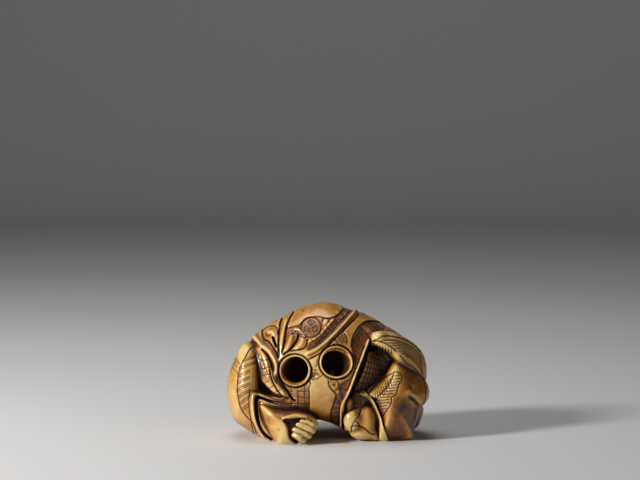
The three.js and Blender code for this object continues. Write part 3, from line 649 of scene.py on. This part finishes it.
def leaf(m, rib, reachOut, veins):
    # an engraved leaf: outline, middle rib and slanting veins
    spine = curveThrough(rib)
    steps = np.linspace(0, 1, len(spine))
    ahead = np.gradient(spine, axis=0)
    ahead /= np.hypot(*ahead.T)[:, None]
    out = np.column_stack([-ahead[:, 1], ahead[:, 0]])
    swell = reachOut * np.sin(math.pi * steps ** 0.8)[:, None]
    edge = np.vstack([spine + out * swell, (spine - out * swell)[::-1]])
    m.groove(edge[::3], 0.26, 0.22, closed=True)
    m.groove(spine, 0.3, 0.26, straight=True)
    for a in np.linspace(0.12, 0.86, veins):
        i = int(a * (len(spine) - 1))
        for side in (-1, 1):
            tip = spine[i] + ahead[i] * reachOut * 0.55 + side * out[i] * swell[i] * 0.88
            m.groove([spine[i], (spine[i] + tip) / 2 + ahead[i] * 0.1, tip], 0.26, 0.2, 0.8, taper=0.1)


def farMap():
    m = ReliefMap()
    # collar bands crossing under the chin
    m.ridge([(-5.8, 17.5), (-4.2, 14), (-1.6, 11.4), (1.6, 9.4)], 1.5, 0.5)
    m.ridge([(7.4, 17.6), (6, 14), (3.4, 11.4), (0.2, 9.2)], 1.5, 0.5)
    m.grooves([[(-4.9, 17.4), (-3.3, 14.2), (-0.8, 11.8), (2, 10)], [(6.5, 17.6), (5.1, 14.2), (2.8, 12)]],
        0.3, 0.25)
    # folds that fall from the shoulders
    m.groove([(-8, 25.4), (-9.6, 22), (-9.8, 18), (-8, 14.6)], 0.9, 0.5, 0.7, taper=0.2)
    m.groove([(-12.6, 23), (-14.4, 19.4), (-14.6, 15.6)], 0.8, 0.45, 0.7, taper=0.2)
    m.groove([(9.4, 24.9), (10.8, 21.6), (10.6, 18), (9, 15)], 0.9, 0.5, 0.7, taper=0.2)
    m.groove([(13.8, 22.4), (15.2, 19.2), (15, 15.6)], 0.8, 0.45, 0.7, taper=0.2)
    m.ridge([(-6.8, 25.2), (-8, 22), (-8, 18.6)], 1.4, 0.3, taper=0.2)
    m.ridge([(8.2, 24.9), (9.2, 21.8), (9, 18.6)], 1.4, 0.3, taper=0.2)
    # the sash and two folds come over from the other side
    m.level([(3.2, 30), (3.4, 27.8), (5, 24.6), (6.6, 22), (8.6, 22), (7.8, 25.4), (6.6, 30)], -0.2, 0.3)
    m.ridge([(6.2, 30.4), (6.9, 28), (7.9, 25.4), (8.7, 22.6), (9, 19.4)], 1.15, 0.4, taper=0.1)
    m.groove([(7.2, 30.4), (8, 27.6), (9, 25), (9.8, 22.2)], 0.5, 0.5)
    m.groove([(4.9, 30.4), (5.4, 27.6), (6.6, 24.6), (7.6, 21.6)], 0.34, 0.3)
    m.groove([(3.2, 30.4), (3.3, 28), (4.7, 24.6), (6.2, 21.8)], 0.35, 0.3)
    m.hatch(6, [(4, 28.2), (5.2, 28.7)], [(0.55, -1.1), (0.5, -1.05)], 0.28, 0.2, 0.8, straight=True)
    m.groove([(-8.9, 27.8), (-9.2, 26.4), (-10.4, 23.6)], 0.5, 0.6, taper=0.25)
    m.groove([(-6.8, 28.6), (-7, 27), (-8, 24.4), (-8.4, 21.6)], 0.45, 0.5, taper=0.25)
    m.ridge([(-8.2, 26), (-9, 24), (-9.2, 22)], 1.1, 0.3, taper=0.3)
    # robe drawn over the knees
    for side, mid in ((-1, -9.4), (1, 10.2)):
        for line, *how in (([(5.2, 13.2), (2.2, 12.6), (-1.5, 10.4), (-3.6, 7.2)], 0.7, 0.35, 0.7, 0.2),
                           ([(6, 10.6), (3.2, 9.6), (0.4, 7.4), (-1.4, 4.6)], 0.7, 0.35, 0.7, 0.2),
                           ([(-5.4, 5.2), (-2, 4.4), (2.5, 4.4), (6.5, 5.4)], 0.3, 0.25)):
            m.groove([(mid + side * h, v) for h, v in line], *how)
        m.hatch(12, [(mid - 5.225, 4.1), (mid - 4.925, 3.3)], [(0.95, 0), (0.95, 0)],
            0.25, 0.18, 0.8, straight=True)
    leaf(m, [(-13.2, 17.6), (-11.6, 19.8), (-9.9, 21.6)], 1.25, 6)
    leaf(m, [(14, 17.6), (12.4, 19.6), (11, 21.4)], 1.25, 6)
    return m


def sideMap():
    # the outer faces of the sleeves, seen from the side: depth across, height up
    m = ReliefMap("t")
    m.groove([(2.6, 19.6), (4.6, 16.8), (5.6, 13), (5.6, 9), (4.6, 5.2), (3, 2.6)], 0.32, 0.3)
    m.groove([(-1.5, 20.5), (-2.8, 17), (-3, 13.2), (-2.2, 9.6), (-0.6, 5.6)], 0.9, 0.4, 0.6, taper=0.2)
    m.groove([(1, 20), (0.6, 16.4), (1, 12.4), (2.2, 8.6)], 0.8, 0.35, 0.6, taper=0.2)
    m.groove([(8.8, 17), (9.4, 13), (9.2, 8.4), (8.2, 4.4)], 0.8, 0.4, 0.6, taper=0.2)
    leaf(m, [(2.9, 5.2), (2.6, 8.6), (3.2, 12.2), (3, 15.4)], 1.5, 9)
    return m


def passageUnder(x, v, halfWidth, halfHeight):
    # an oval tunnel from front to back
    win = gridWindow((xs[0], ts[0], vs[0]), (xs[-1], ts[-1], v + halfHeight + 1))
    gx, _, gv = cellsOf(win)
    oval = (np.sqrt(((gx - x) / halfWidth) ** 2 + ((gv - v) / halfHeight) ** 2) - 1) * halfHeight
    return win, np.broadcast_to(oval, field[win].shape).astype(np.float32)


def sculptBack(relief):
    shape = {k: backForm[k] for k in ("centre", "outline", "depth", "half", "far")}
    join(bulge(margin=6, **shape), 0.01, "robe", relief)
    bore = backForm["bore"]
    legs = []
    for hole in backForm["holes"]:
        (x, v), side = hole["at"], hole["towards"]
        # where a line into the hole's middle meets the robe
        face = ts[np.argmax(field[int((x - xs[0]) / cell), :, int((v - vs[0]) / cell)] < 0)]
        mouth = (x - side * bore["lead"], face - bore["start"], v)
        end = (x + side * bore["shift"], face + bore["run"], bore["endHeight"])
        legs.append(rod([mouth, end], bore["radii"], margin=1))
    for win, leg in legs:
        carve((win, leg), 0.2)
        owner[win][leg < cell] = ownerTags["bore"]
    place, size = backForm["lap"]
    join(ball(intoLean(*place), size), 1.5, "lap")
    carve(passageUnder(*backForm["farPassage"]), 0.4, "lap")
    owner[owner == ownerTags["lap"]] = ownerTags["robe"]
    carve(passageUnder(*backForm["passage"]), 0.3, "robe")


def sculptSleeves(relief):
    join(bulge((-17, 11), [(-17, 20.85), (-15.3, 20.4), (-14, 18.6), (-13.5, 15.5), (-13.6, 12), (-13.2, 7),
        (-12.9, 3), (-13.2, 0.8), (-16.3, 2.45), (-19.1, 4.4), (-20.35, 6.6), (-20.95, 9.5), (-20.9, 12.8),
        (-20.2, 15.4), (-19.3, 17.6), (-18.4, 19.8)],
        -0.8, 7.6, power=2.2, slope=(-0.2, 0)), 0.3, "sleeve", relief)
    join(bulge((-10.5, 5.5), [(-15.7, 11.6), (-13.5, 11), (-11, 9.9), (-8.5, 9.1), (-6, 8.6), (-4.6, 7.4),
        (-4.4, 5), (-7, 1.5), (-11, -0.2), (-13.4, 0.9), (-15, 3), (-16, 7)],
        -2, 6.4, power=2.6), 0.5, "sleeve", relief)
    join(bulge((14.5, 18.5), [(8.75, 20.7), (8.95, 22.1), (9.6, 22.9), (11.2, 23.15), (13.5, 22.85),
        (16, 21.7), (18, 20.35), (19.5, 18.7), (20.25, 16.6), (20.45, 14.6), (19.9, 12.6), (17, 13),
        (14.5, 15), (12.6, 18), (10.6, 19.5)],
        -2.6, 4.6, power=2.2, slope=(0.42, 0)), 0.3, "sleeve", relief)
    join(ball((10.4, -5.9, 21.6), (1.6, 2.2, 1.35)), 0.5, "sleeve", relief)
    join(bulge((13.5, 8.5), [(14.1, 18.4), (16.3, 17.3), (18.5, 15), (20, 13.2), (20.8, 11.5), (20.95, 10),
        (20.4, 8.6), (19.4, 7.4), (18.4, 5), (17.7, 2.5), (17, 0.4), (12, 0), (10.5, 0.4), (10, 4), (9, 7),
        (7.7, 9.2), (6.4, 10.3), (4.9, 10.6), (7, 11.75), (9, 12.95), (11, 14.5), (12.4, 16.4)],
        -1.2, 8, power=2.3, slope=(0.1, 0)), 0.2, "sleeve", relief)
    join(bulge((18, 5.8), [(17.6, 9.5), (19.5, 7.7), (19.85, 6.7), (19.4, 4.8), (18.7, 3.3), (17.9, 2.9),
        (17.1, 3.5), (16.6, 6)], 3, 3.5, power=2.2), 0.2, "sleeve")


fistForm = {
    "fingers": [                  # points along each finger, and the radii there
        ([(-5.3, -11.5, 4.6), (-3.9, -11.9, 4.15), (-2.65, -11.1, 3.65)], (0.5, 0.58, 0.55)),
        ([(-6.1, -11.4, 3.95), (-4.7, -12.0, 3.4), (-3.1, -11.2, 2.75)], (0.5, 0.6, 0.56)),
        ([(-6.8, -11.2, 2.95), (-5.4, -11.9, 2.3), (-3.9, -11.1, 1.7)], (0.54, 0.62, 0.56)),
        ([(-6.9, -11.0, 1.9), (-6.0, -11.5, 1.35), (-5.0, -10.8, 0.75)], (0.52, 0.6, 0.54)),
    ],
    "rubbedTo": -11.95,           # t of the fingers' flat fronts
}


def sculptHands(relief):
    join(bulge((-8.5, 3.4), [(-13.75, 8.1), (-11.5, 7.4), (-9, 6.95), (-6.5, 6.8), (-4.5, 6.3), (-2.9, 5.5),
        (-2.05, 4.4), (-2.2, 3.2), (-3.2, 1.8), (-4.4, 0.6), (-5.5, -0.4), (-9.4, -0.4), (-10.9, 0.9),
        (-12, 2.4), (-13.2, 4.5), (-13.95, 7)],
        -7.6, 4.2, power=2.1, slope=(-0.12, 0)), 0.25, "hand", relief)
    for points, radii in fistForm["fingers"]:
        win, shape = rod(points, radii)
        join((win, softMax(shape, fistForm["rubbedTo"] - cellsOf(win)[1], 0.25)), 0.05, "hand")
    join(bulge((6.5, 4.8), [(3.35, 8.3), (3.25, 6), (3.3, 3), (4, 2.4), (5, 1.6), (6.5, 0.8), (8.5, 0.5),
        (10.6, 0.6), (10.6, 3), (10.1, 5), (9.2, 7), (8.2, 8.6), (7.2, 9.8), (6, 10.5), (4.8, 9.9)],
        -4.2, 4, power=2.4), 0.2, "hand", relief)
    join(ball((5, -7.2, 4.9), (1.9, 1.7, 2.5)), 0.5, "hand", relief)
    join(ball((7.9, -6.9, 5), (1.9, 1.7, 2.9)), 0.5, "hand", relief)
    join(ball((6.9, -6.2, 2.3), (2.5, 1.9, 1.4)), 0.4, "hand", relief)
    join(ball((4.2, -7.2, 8), (0.75, 0.9, 1.5)), 0.4, "hand")
    join(ball((6.3, -6.2, 8.9), (2, 1.5, 1.9)), 0.6, "hand", relief)


def sculptFarSide(relief):
    for side, mid in ((-1, -9.4), (1, 10.2)):
        join(ball(intoLean(mid, 7.2, 6.4), (6.0, 6.6, 7.0)), 1.0, "farSide", relief)
        join(ball(intoLean(mid + side * 3.6, 3.2, 7.0), (5.2, 7.8, 7.0)), 1.4, "farSide", relief)
    join(ball(intoLean(-11.4, 4.2, 15.6), (5.2, 6.4, 5.2)), 1.4, "farSide", relief)
    join(ball(intoLean(12.2, 4.4, 15.8), (5.2, 6.4, 5.4)), 1.4, "farSide", relief)


headForm = {
    "at": (0.9, 9.6, 14.4),
    "bow": 24,                    # degrees that the face is lowered by
    "strands": (56, 0.04),        # locks round the head, and how deep they are combed
}


def sculptHead():
    middle = np.array(intoLean(*headForm["at"]))
    win = gridWindow(middle - 9.5, middle + 9.5)
    gx, gt, gv = cellsOf(win)
    c, s = math.cos(leanAngle), math.sin(leanAngle)
    y = leanDepth + (gt - leanDepth) * c + gv * s - headForm["at"][1]
    z = gv * c - (gt - leanDepth) * s - headForm["at"][2]
    c, s = math.cos(math.radians(headForm["bow"])), math.sin(math.radians(headForm["bow"]))
    own = (gx - headForm["at"][0], y * c - z * s, y * s + z * c)   # across, towards the face, up
    across, forward, up = own
    skull = ellipsoid(own, (0, -0.3, 1.2), (5, 5.5, 5.2))
    h = softMin(skull, ellipsoid(own, (0, 1.6, -2.9), (3.6, 3.9, 4)), 2.4)                # jaw
    for k in (-1, 1):
        h = softMin(h, ellipsoid(own, (k * 2.3, 3.4, -1.5), (1.7, 1.6, 1.9)), 1.4)        # cheek
        h = softMax(h, -ellipsoid(own, (k * 1.95, 5.45, 0.85), (1.25, 0.75, 0.75)), 0.5)  # eye's hollow
        h = softMin(h, ellipsoid(own, (k * 1.95, 4.35, 0.6), (1.05, 0.62, 0.62)), 0.25)   # lowered lid
        brow = [(k * 0.55, 5.25, 1.55), (k * 1.8, 5.05, 2.0), (k * 3.2, 4.1, 1.55)]
        h = softMin(h, roundRod(own, brow, (0.22, 0.28, 0.15)), 0.4)
        h = softMin(h, ellipsoid(own, (k * 4.95, -0.1, -0.1), (0.75, 1.25, 1.85)), 0.35)  # ear
        h = softMax(h, -ellipsoid(own, (k * 5.75, 0.15, 0.1), (0.45, 0.7, 1.1)), 0.2)
        h = softMin(h, ellipsoid(own, (k * 0.62, 5.5, -1.05), (0.42, 0.5, 0.38)), 0.25)   # nostril
    nose = [(0, 5.2, 1.3), (0, 5.65, 0.2), (0, 6, -0.85)]
    upperLip = [(-1.25, 4.95, -2.45), (-0.5, 5.4, -2.25), (0, 5.4, -2.35), (0.5, 5.4, -2.25),
                (1.25, 4.95, -2.45)]
    lowerLip = [(-1, 4.95, -2.75), (0, 5.35, -2.95), (1, 4.95, -2.75)]
    h = softMin(h, roundRod(own, nose, (0.32, 0.42, 0.66)), 0.5)
    h = softMin(h, roundRod(own, upperLip, (0.14, 0.3, 0.26, 0.3, 0.14)), 0.25)
    h = softMin(h, roundRod(own, lowerLip, (0.14, 0.36, 0.14)), 0.2)
    h = softMin(h, ellipsoid(own, (0, 4.35, -4.7), (1.5, 1.1, 1)), 1.2)                   # chin
    locks, combed = headForm["strands"]
    hair = ellipsoid(own, (0, -0.5, 1.5), (5.3, 5.75, 5.3))
    hair += combed * np.cos(locks * np.arctan2(across, forward + 1.2))
    fringe = softMax(hair, (3.1 - 0.085 * across ** 2 + 0.18 * (forward - 4.5)) - up, 0.3)
    hair = np.minimum(fringe, softMax(hair, forward + 0.9, 0.3))
    h = softMin(h, hair, 0.12)
    knot = [(0, -1.2, 6.5), (0, 0.4, 7.3), (0, 1.8, 6.9)]
    hair = np.minimum(hair, roundRod(own, knot, (1.25, 1, 0.75)))
    h = softMin(h, hair, 0.12)
    join((win, h.astype(np.float32)), 0.35, "head")
    owner[win][(owner[win] == ownerTags["head"]) & (hair < h + 0.05)] = ownerTags["hair"]


def cutFlatBelow():
    _, gt, gv = cellsOf([slice(None)] * 3)
    height = gv * math.cos(leanAngle) - (gt - leanDepth) * math.sin(leanAngle)
    field[:] = np.maximum(field, -height)


def dropCrumbs(mesh):
    # decimation can leave a loose crumb of a few faces: only the large surface stays
    shell = bmesh.new()
    shell.from_mesh(mesh)
    unseen = set(shell.faces)
    surfaces = []
    while unseen:
        waiting = [unseen.pop()]
        surface = []
        while waiting:
            face = waiting.pop()
            surface.append(face)
            neighbours = unseen.intersection(other for edge in face.edges for other in edge.link_faces)
            unseen -= neighbours
            waiting += neighbours
        surfaces.append(surface)
    surfaces.sort(key=len)
    crumbs = [face for surface in surfaces[:-1] for face in surface]
    bmesh.ops.delete(shell, geom=crumbs, context="FACES")
    shell.to_mesh(mesh)
    shell.free()
    print("surfaces", [len(surface) for surface in surfaces])


def meshOfField():
    grid = openvdb.FloatGrid(3 * cell)
    grid.copyFromArray(np.clip(field, -3 * cell, 3 * cell))
    points, quads = grid.convertToQuads(isovalue=0.0)
    points = np.column_stack([points[:, k] * cell + axis[0] for k, axis in enumerate(axes)])
    mesh = bpy.data.meshes.new("carvedIvory")
    mesh.from_pydata(points, [], quads)
    piece = bpy.data.objects.new("carvedIvory", mesh)
    bpy.context.collection.objects.link(piece)
    # the plainer far side is thinned first, then the whole is, wherever it is smoothest
    plain = points[:, 1] > carvingMesh["plainBeyond"]
    piece.vertex_groups.new(name="plain").add(np.flatnonzero(plain).tolist(), 1, "REPLACE")
    thinned = 1 - plain.mean() * (1 - carvingMesh["plainKept"])
    farFirst = piece.modifiers.new("farFirst", "DECIMATE")
    farFirst.vertex_group = "plain"
    farFirst.ratio = thinned
    lighter = piece.modifiers.new("lighter", "DECIMATE")
    lighter.ratio = carvingMesh["triangles"] / (2 * len(quads) * thinned)
    solved = piece.evaluated_get(bpy.context.evaluated_depsgraph_get())
    piece.data = bpy.data.meshes.new_from_object(solved)
    piece.modifiers.clear()
    bpy.data.meshes.remove(mesh)
    dropCrumbs(piece.data)
    return piece


def sampleField(values, p):
    # values of a 3-D array at the mesh's points, linearly between cells
    at = [np.clip((p[:, k] - axis[0]) / cell, 0, len(axis) - 1.001) for k, axis in enumerate(axes)]
    low = [a.astype(int) for a in at]
    part = [a - i for a, i in zip(at, low)]
    total = 0
    for corner in range(8):
        step = [(corner >> k) & 1 for k in range(3)]
        weight = np.prod([f if s else 1 - f for f, s in zip(part, step)], axis=0)
        total = total + weight * values[tuple(i + s for i, s in zip(low, step))]
    return total


def blurred(a, reach):
    # two box passes along each axis
    n = max(1, int(round(reach / cell)))
    for axis in range(3):
        for _ in range(2):
            padded = np.pad(a, [(n + 1, n) if k == axis else (0, 0) for k in range(3)], mode="edge")
            run = np.cumsum(padded, axis=axis, dtype=np.float32)
            high = np.take(run, range(2 * n + 1, run.shape[axis]), axis)
            a = (high - np.take(run, range(0, run.shape[axis] - 2 * n - 1), axis)) / (2 * n + 1)
    return a


def pointValues(mesh, name):
    values = np.empty(len(mesh.vertices) * 3, np.float32)
    mesh.vertices.foreach_get(name, values)
    return values.reshape(-1, 3)


def nearest(axis, step, values):
    return np.clip(np.rint((values - axis[0]) / step), 0, len(axis) - 1).astype(int)


def storeLayers(piece, mapsOf):
    # what the ivory needs to know at each point: ink, stain with painted shade and painted light, and how
    # hollow the shape is around it
    mesh = piece.data
    p, normal = pointValues(mesh, "co"), pointValues(mesh, "normal")
    layers = {name: np.zeros(len(p), np.float32) for name in ("ink", "washAndPaintedLight")}
    tags = owner[tuple(nearest(axis, cell, p[:, k]) for k, axis in enumerate(axes))]
    weights = reliefWeights(normal[:, 0], normal[:, 1])
    for part, maps in mapsOf.items():
        mine = tags == ownerTags[part]
        for side, relief in maps.items():
            i = nearest(relief.h, fine, p[mine, 0 if relief.across == "x" else 1])
            j = nearest(relief.v, fine, p[mine, 2])
            layers["ink"][mine] += relief.ink[i, j] * weights[side][mine]
            layers["washAndPaintedLight"][mine] += relief.washAndPaintedLight[i, j] * weights[side][mine]
    # bore walls: stain and painted shade; hair: stain
    for part, amount in carvingMesh["stainsAndPaintedShade"].items():
        layers["washAndPaintedLight"][tags == ownerTags[part]] = amount
    solidity = np.clip(0.5 - field / cell, 0, 1).astype(np.float32)
    for name, reach in zip(("cavityFine", "cavityMid", "cavityBroad"), carvingMesh["cavityReach"]):
        solidity = blurred(solidity, reach / 2)
        layers[name] = sampleField(solidity, p)
    for name, values in layers.items():
        layer = mesh.attributes.new(name, "FLOAT", "POINT")
        layer.data.foreach_set("value", values.astype(np.float32))
    print("layers stored", list(layers))
    return p


def standUp(piece, p):
    # tipped by the lean, then fitted to the CAD solid's box
    c, s = math.cos(leanAngle), math.sin(leanAngle)
    depth = p[:, 1] - leanDepth
    placed = np.column_stack([p[:, 0], leanDepth + depth * c + p[:, 2] * s, p[:, 2] * c - depth * s]) / 1000
    low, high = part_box("carved_figure")
    scale = (high[0] - low[0]) / np.ptp(placed[:, 0])
    middle = (placed.min(0) + placed.max(0)) / 2
    target = np.array([(low[0] + high[0]) / 2, (low[1] + high[1]) / 2, 0])
    placed = (placed - [middle[0], middle[1], placed[:, 2].min()]) * scale + target + [0, 0, low[2]]
    piece.data.vertices.foreach_set("co", placed.astype(np.float32).ravel())
    piece.data.update()
    for polygon in piece.data.polygons:
        polygon.use_smooth = True
    print("scale", round(float(scale), 4), "points", len(placed), "faces", len(piece.data.polygons))


farRelief = farMap()
endRelief = sideMap()
reliefs = {
    "robe": {"front": robeMap(), "far": farRelief},
    "sleeve": {"front": sleeveMap(), "left": endRelief, "right": endRelief, "far": farRelief},
    "hand": {"front": handMap()},
    "farSide": {"left": endRelief, "right": endRelief, "far": farRelief},
}
print("relief maps drawn")
sculptBack(reliefs["robe"])
sculptSleeves(reliefs["sleeve"])
sculptHands(reliefs["hand"])
sculptFarSide(reliefs["farSide"])
sculptHead()
cutFlatBelow()
print("forms joined", field.shape)
carved = meshOfField()
standUp(carved, storeLayers(carved, reliefs))


# tooth ivory, carved, stained in its hollows and polished by handling: dense, waxy, a little light goes in
ivory = {
    # from the rubbed cream to the umber of the hollows
    "tones": [(0, "#E4C27E"), (0.32, "#C68A32"), (0.62, "#7E4714"), (1, "#2C180D")],
    "evenTone": 0.52,             # where a flat, plain place lies between them
    "stainedBy": {"cavityMid": 2.1, "cavityBroad": 1.4, "cavityFine": 0.8, "mottle": 0.5, "grain": 0.05,
                  "clouds": 0.45},
    "inkLine": "#301B10",
    "inkCover": 0.78,             # the share of the tone under it that ink hides
    "inkRoughness": 0.4,
    "roughness": (0.24, 0.42),    # rubbed high spots, and the hollows
    # size in mm, detail, roughness, and how many times coarser than real it is drawn
    "patterns": {
        "mottle": (6, 5, 0.6, 1),        # cloudy changes of tone
        "clouds": (1.3, 6, 0.65, 1),     # the smaller blotches inside them
        "specks": (0.22, 2, 0.5, 2),     # dirt in the pores, which are too fine to show at their real size
        "pores": (0.12, 3, 0.5, 4),      # the fine bump of worn polish, too fine as well
    },
    "grain": 4.4,                 # mm between bands of growth; the real lines in them are too fine to draw
    "dirt": 0.22,                 # how much the specks darken
    "speckEdge": (0.56, 0.7),
    "dirtFrom": (0.15, 0.6),      # the stain that holds no dirt, and the stain that holds all
    "poreBump": (0.12, 0.00005),  # strength, and height in metres
    "lightInside": (0.1, 0.0012),    # the share of the light that goes in, and how deep in metres
    "ior": 1.54,
    "coat": (0.28, 0.06, 1.5),    # weight, roughness and IOR of the gloss that handling gave
}


def linear(colour):
    parts = [int(colour[i:i + 2], 16) / 255 for i in (1, 3, 5)]
    return tuple(c / 12.92 if c <= 0.04045 else ((c + 0.055) / 1.055) ** 2.4 for c in parts) + (1,)


def addNode(tree, kind, links, output=0, **settings):
    # settings go to the node's properties, and links and values to its sockets by name or number
    node = tree.nodes.new(kind)
    for name, value in settings.items():
        setattr(node, name, value)
    for socket, value in links.items():
        if isinstance(value, bpy.types.NodeSocket):
            tree.links.new(value, node.inputs[socket])
        else:
            node.inputs[socket].default_value = value
    return node.outputs[output] if node.outputs else node


def ivoryMaterial():
    material = bpy.data.materials.new("oldPolishedIvory")
    material.use_nodes = True
    tree = material.node_tree
    tree.nodes.clear()
    where = addNode(tree, "ShaderNodeTexCoord", {}, "Object")
    layers = {name: addNode(tree, "ShaderNodeAttribute", {}, "Fac", attribute_name=name)
              for name in ("cavityFine", "cavityMid", "cavityBroad", "ink", "washAndPaintedLight")}
    for name, (size, detail, roughness, coarser) in ivory["patterns"].items():
        values = {"Vector": where, "Scale": 1000 / size / coarser, "Detail": detail, "Roughness": roughness}
        layers[name] = addNode(tree, "ShaderNodeTexNoise", values, "Fac")
    # the wave node draws 20 radians to each unit at scale 1
    bands = 1000 / ivory["grain"] * 2 * math.pi / 20
    values = {"Vector": where, "Scale": bands, "Distortion": 3, "Detail": 3}
    layers["grain"] = addNode(tree, "ShaderNodeTexWave", values, "Fac", wave_type="BANDS")
    # hollows hold stain, high spots are rubbed pale
    stainAndPaintedLight = ivory["evenTone"]
    for name, amount in ivory["stainedBy"].items():
        apart = addNode(tree, "ShaderNodeMath", {0: layers[name], 1: 0.5}, operation="SUBTRACT")
        stainAndPaintedLight = addNode(tree, "ShaderNodeMath", {0: apart, 1: amount, 2: stainAndPaintedLight}, operation="MULTIPLY_ADD")
    # the wash layer adds the outlined stains together with painted shade and painted light
    stainAndPaintedLight = addNode(tree, "ShaderNodeMath", {0: stainAndPaintedLight, 1: layers["washAndPaintedLight"]}, operation="ADD", use_clamp=True)
    # specks show only where some stain already is
    dirt = ivory["dirt"]
    for source, (low, high) in ((layers["specks"], ivory["speckEdge"]), (stainAndPaintedLight, ivory["dirtFrom"])):
        shown = addNode(tree, "ShaderNodeMapRange", {"Value": source, "From Min": low, "From Max": high},
                        interpolation_type="SMOOTHSTEP")
        dirt = addNode(tree, "ShaderNodeMath", {0: shown, 1: dirt}, operation="MULTIPLY")
    stainAndPaintedLight = addNode(tree, "ShaderNodeMath", {0: stainAndPaintedLight, 1: dirt}, operation="ADD", use_clamp=True)
    tone = addNode(tree, "ShaderNodeValToRGB", {"Fac": stainAndPaintedLight})
    ramp = tone.node.color_ramp
    for place, _ in ivory["tones"][1:-1]:
        ramp.elements.new(place)
    for element, (_, colour) in zip(ramp.elements, ivory["tones"]):
        element.color = linear(colour)
    cover = addNode(tree, "ShaderNodeMath", {0: layers["ink"], 1: ivory["inkCover"]}, operation="MULTIPLY",
                    use_clamp=True)
    inked = addNode(tree, "ShaderNodeMix", {"Factor": cover, 6: tone, 7: linear(ivory["inkLine"])}, 2,
                    data_type="RGBA")    # 6 and 7 are the colours A and B, and output 2 is theirs
    dull = addNode(tree, "ShaderNodeMath", {0: layers["ink"], 1: ivory["inkRoughness"], 2: stainAndPaintedLight},
                   operation="MULTIPLY_ADD")
    smoothest, roughest = ivory["roughness"]
    rough = addNode(tree, "ShaderNodeMapRange", {"Value": dull, "To Min": smoothest, "To Max": roughest})
    strength, height = ivory["poreBump"]
    bump = addNode(tree, "ShaderNodeBump",
                   {"Height": layers["pores"], "Strength": strength, "Distance": height})
    share, deep = ivory["lightInside"]
    coat, coatRoughness, coatIor = ivory["coat"]
    shader = addNode(tree, "ShaderNodeBsdfPrincipled", {
        "Base Color": inked, "Roughness": rough, "Normal": bump, "IOR": ivory["ior"],
        "Subsurface Weight": share, "Subsurface Radius": (1.0, 0.7, 0.4), "Subsurface Scale": deep,
        "Coat Weight": coat, "Coat Roughness": coatRoughness, "Coat IOR": coatIor})
    addNode(tree, "ShaderNodeOutputMaterial", {"Surface": shader})
    return material


carved.data.materials.clear()
carved.data.materials.append(ivoryMaterial())
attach(carved, "root")
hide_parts("carved_figure")
print("ivory finished")

low, high = cadBox
middle = (low + high) / 2
studio = {
    "cameraDistance": 0.45,       # metres
    "cameraHeight": 8,            # degrees above the figure
    "lens": 122,
    "aimAbove": 0.02665,          # the figure sits low in the picture
    "aimLeft": 0.0017,
    "floor": "#DCDCDC",
    "floorRoughness": 0.75,
    "floorSize": 1.2,
    "sweepRadius": 0.25,
    "sweepSteps": 16,
    "daylight": 0.05,             # the even light from everywhere
}


def paleFloor():
    # matte paper, pale and without a shine, that curves up into a wall behind the figure
    half, radius, steps = studio["floorSize"], studio["sweepRadius"], studio["sweepSteps"]
    profile = [(-half, 0.0)]
    profile += [(half / 2 + radius * math.sin(a), radius - radius * math.cos(a))
                for a in (math.pi / 2 * k / steps for k in range(steps + 1))]
    profile.append((half / 2 + radius, half))
    points = [(x, y, z + low.z) for y, z in profile for x in (-half, half)]
    faces = [(2 * k, 2 * k + 1, 2 * k + 3, 2 * k + 2) for k in range(len(profile) - 1)]
    mesh = bpy.data.meshes.new("studioFloor")
    mesh.from_pydata(points, [], faces)
    for polygon in mesh.polygons:
        polygon.use_smooth = True
    material = bpy.data.materials.new("mattePaper")
    material.use_nodes = True
    shader = material.node_tree.nodes["Principled BSDF"]
    shader.inputs["Base Color"].default_value = linear(studio["floor"])
    shader.inputs["Roughness"].default_value = studio["floorRoughness"]
    mesh.materials.append(material)
    paper = bpy.data.objects.new("studioFloor", mesh)
    bpy.context.collection.objects.link(paper)
    return paper


paleFloor()


def aimed(thing, place, target):
    thing.location = place
    thing.rotation_mode = "QUATERNION"
    thing.rotation_quaternion = (Vector(target) - Vector(place)).to_track_quat("-Z", "Y")
    bpy.context.collection.objects.link(thing)


lamps = {
    # name: (place, size, watts, colour)
    "key": ((-0.32, -0.17, 0.17), 0.06, 1.55, (1.0, 0.98, 0.96)),
    "top": ((-0.06, 0.06, 0.32), 0.2, 0.35, (1.0, 0.99, 0.98)),
    "fill": ((0.30, -0.30, 0.10), 0.25, 0.07, (1.0, 0.98, 0.96)),
}
for name, (place, size, watts, colour) in lamps.items():
    lamp = bpy.data.lights.new(name, "AREA")
    lamp.size, lamp.energy, lamp.color = size, watts, colour
    aimed(bpy.data.objects.new(name, lamp), place, middle)

world = bpy.data.worlds.new("studio")
world.use_nodes = True
sky = world.node_tree.nodes["Background"]
sky.inputs["Color"].default_value = (1, 1, 1, 1)
sky.inputs["Strength"].default_value = studio["daylight"]
bpy.context.scene.world = world
bpy.context.scene.view_settings.view_transform = "Standard"   # keeps the honey colour as warm as it is

camera = bpy.data.cameras.new("camera")
camera.lens = studio["lens"]
camera.clip_start, camera.clip_end = 0.01, 10
raised = math.radians(studio["cameraHeight"])
distance = studio["cameraDistance"]
place = middle + Vector((0, -distance * math.cos(raised), distance * math.sin(raised)))
target = middle + Vector((-studio["aimLeft"], 0, studio["aimAbove"] / math.cos(raised)))
eye = bpy.data.objects.new("camera", camera)
aimed(eye, place, target)
bpy.context.scene.camera = eye

print("studio ready")
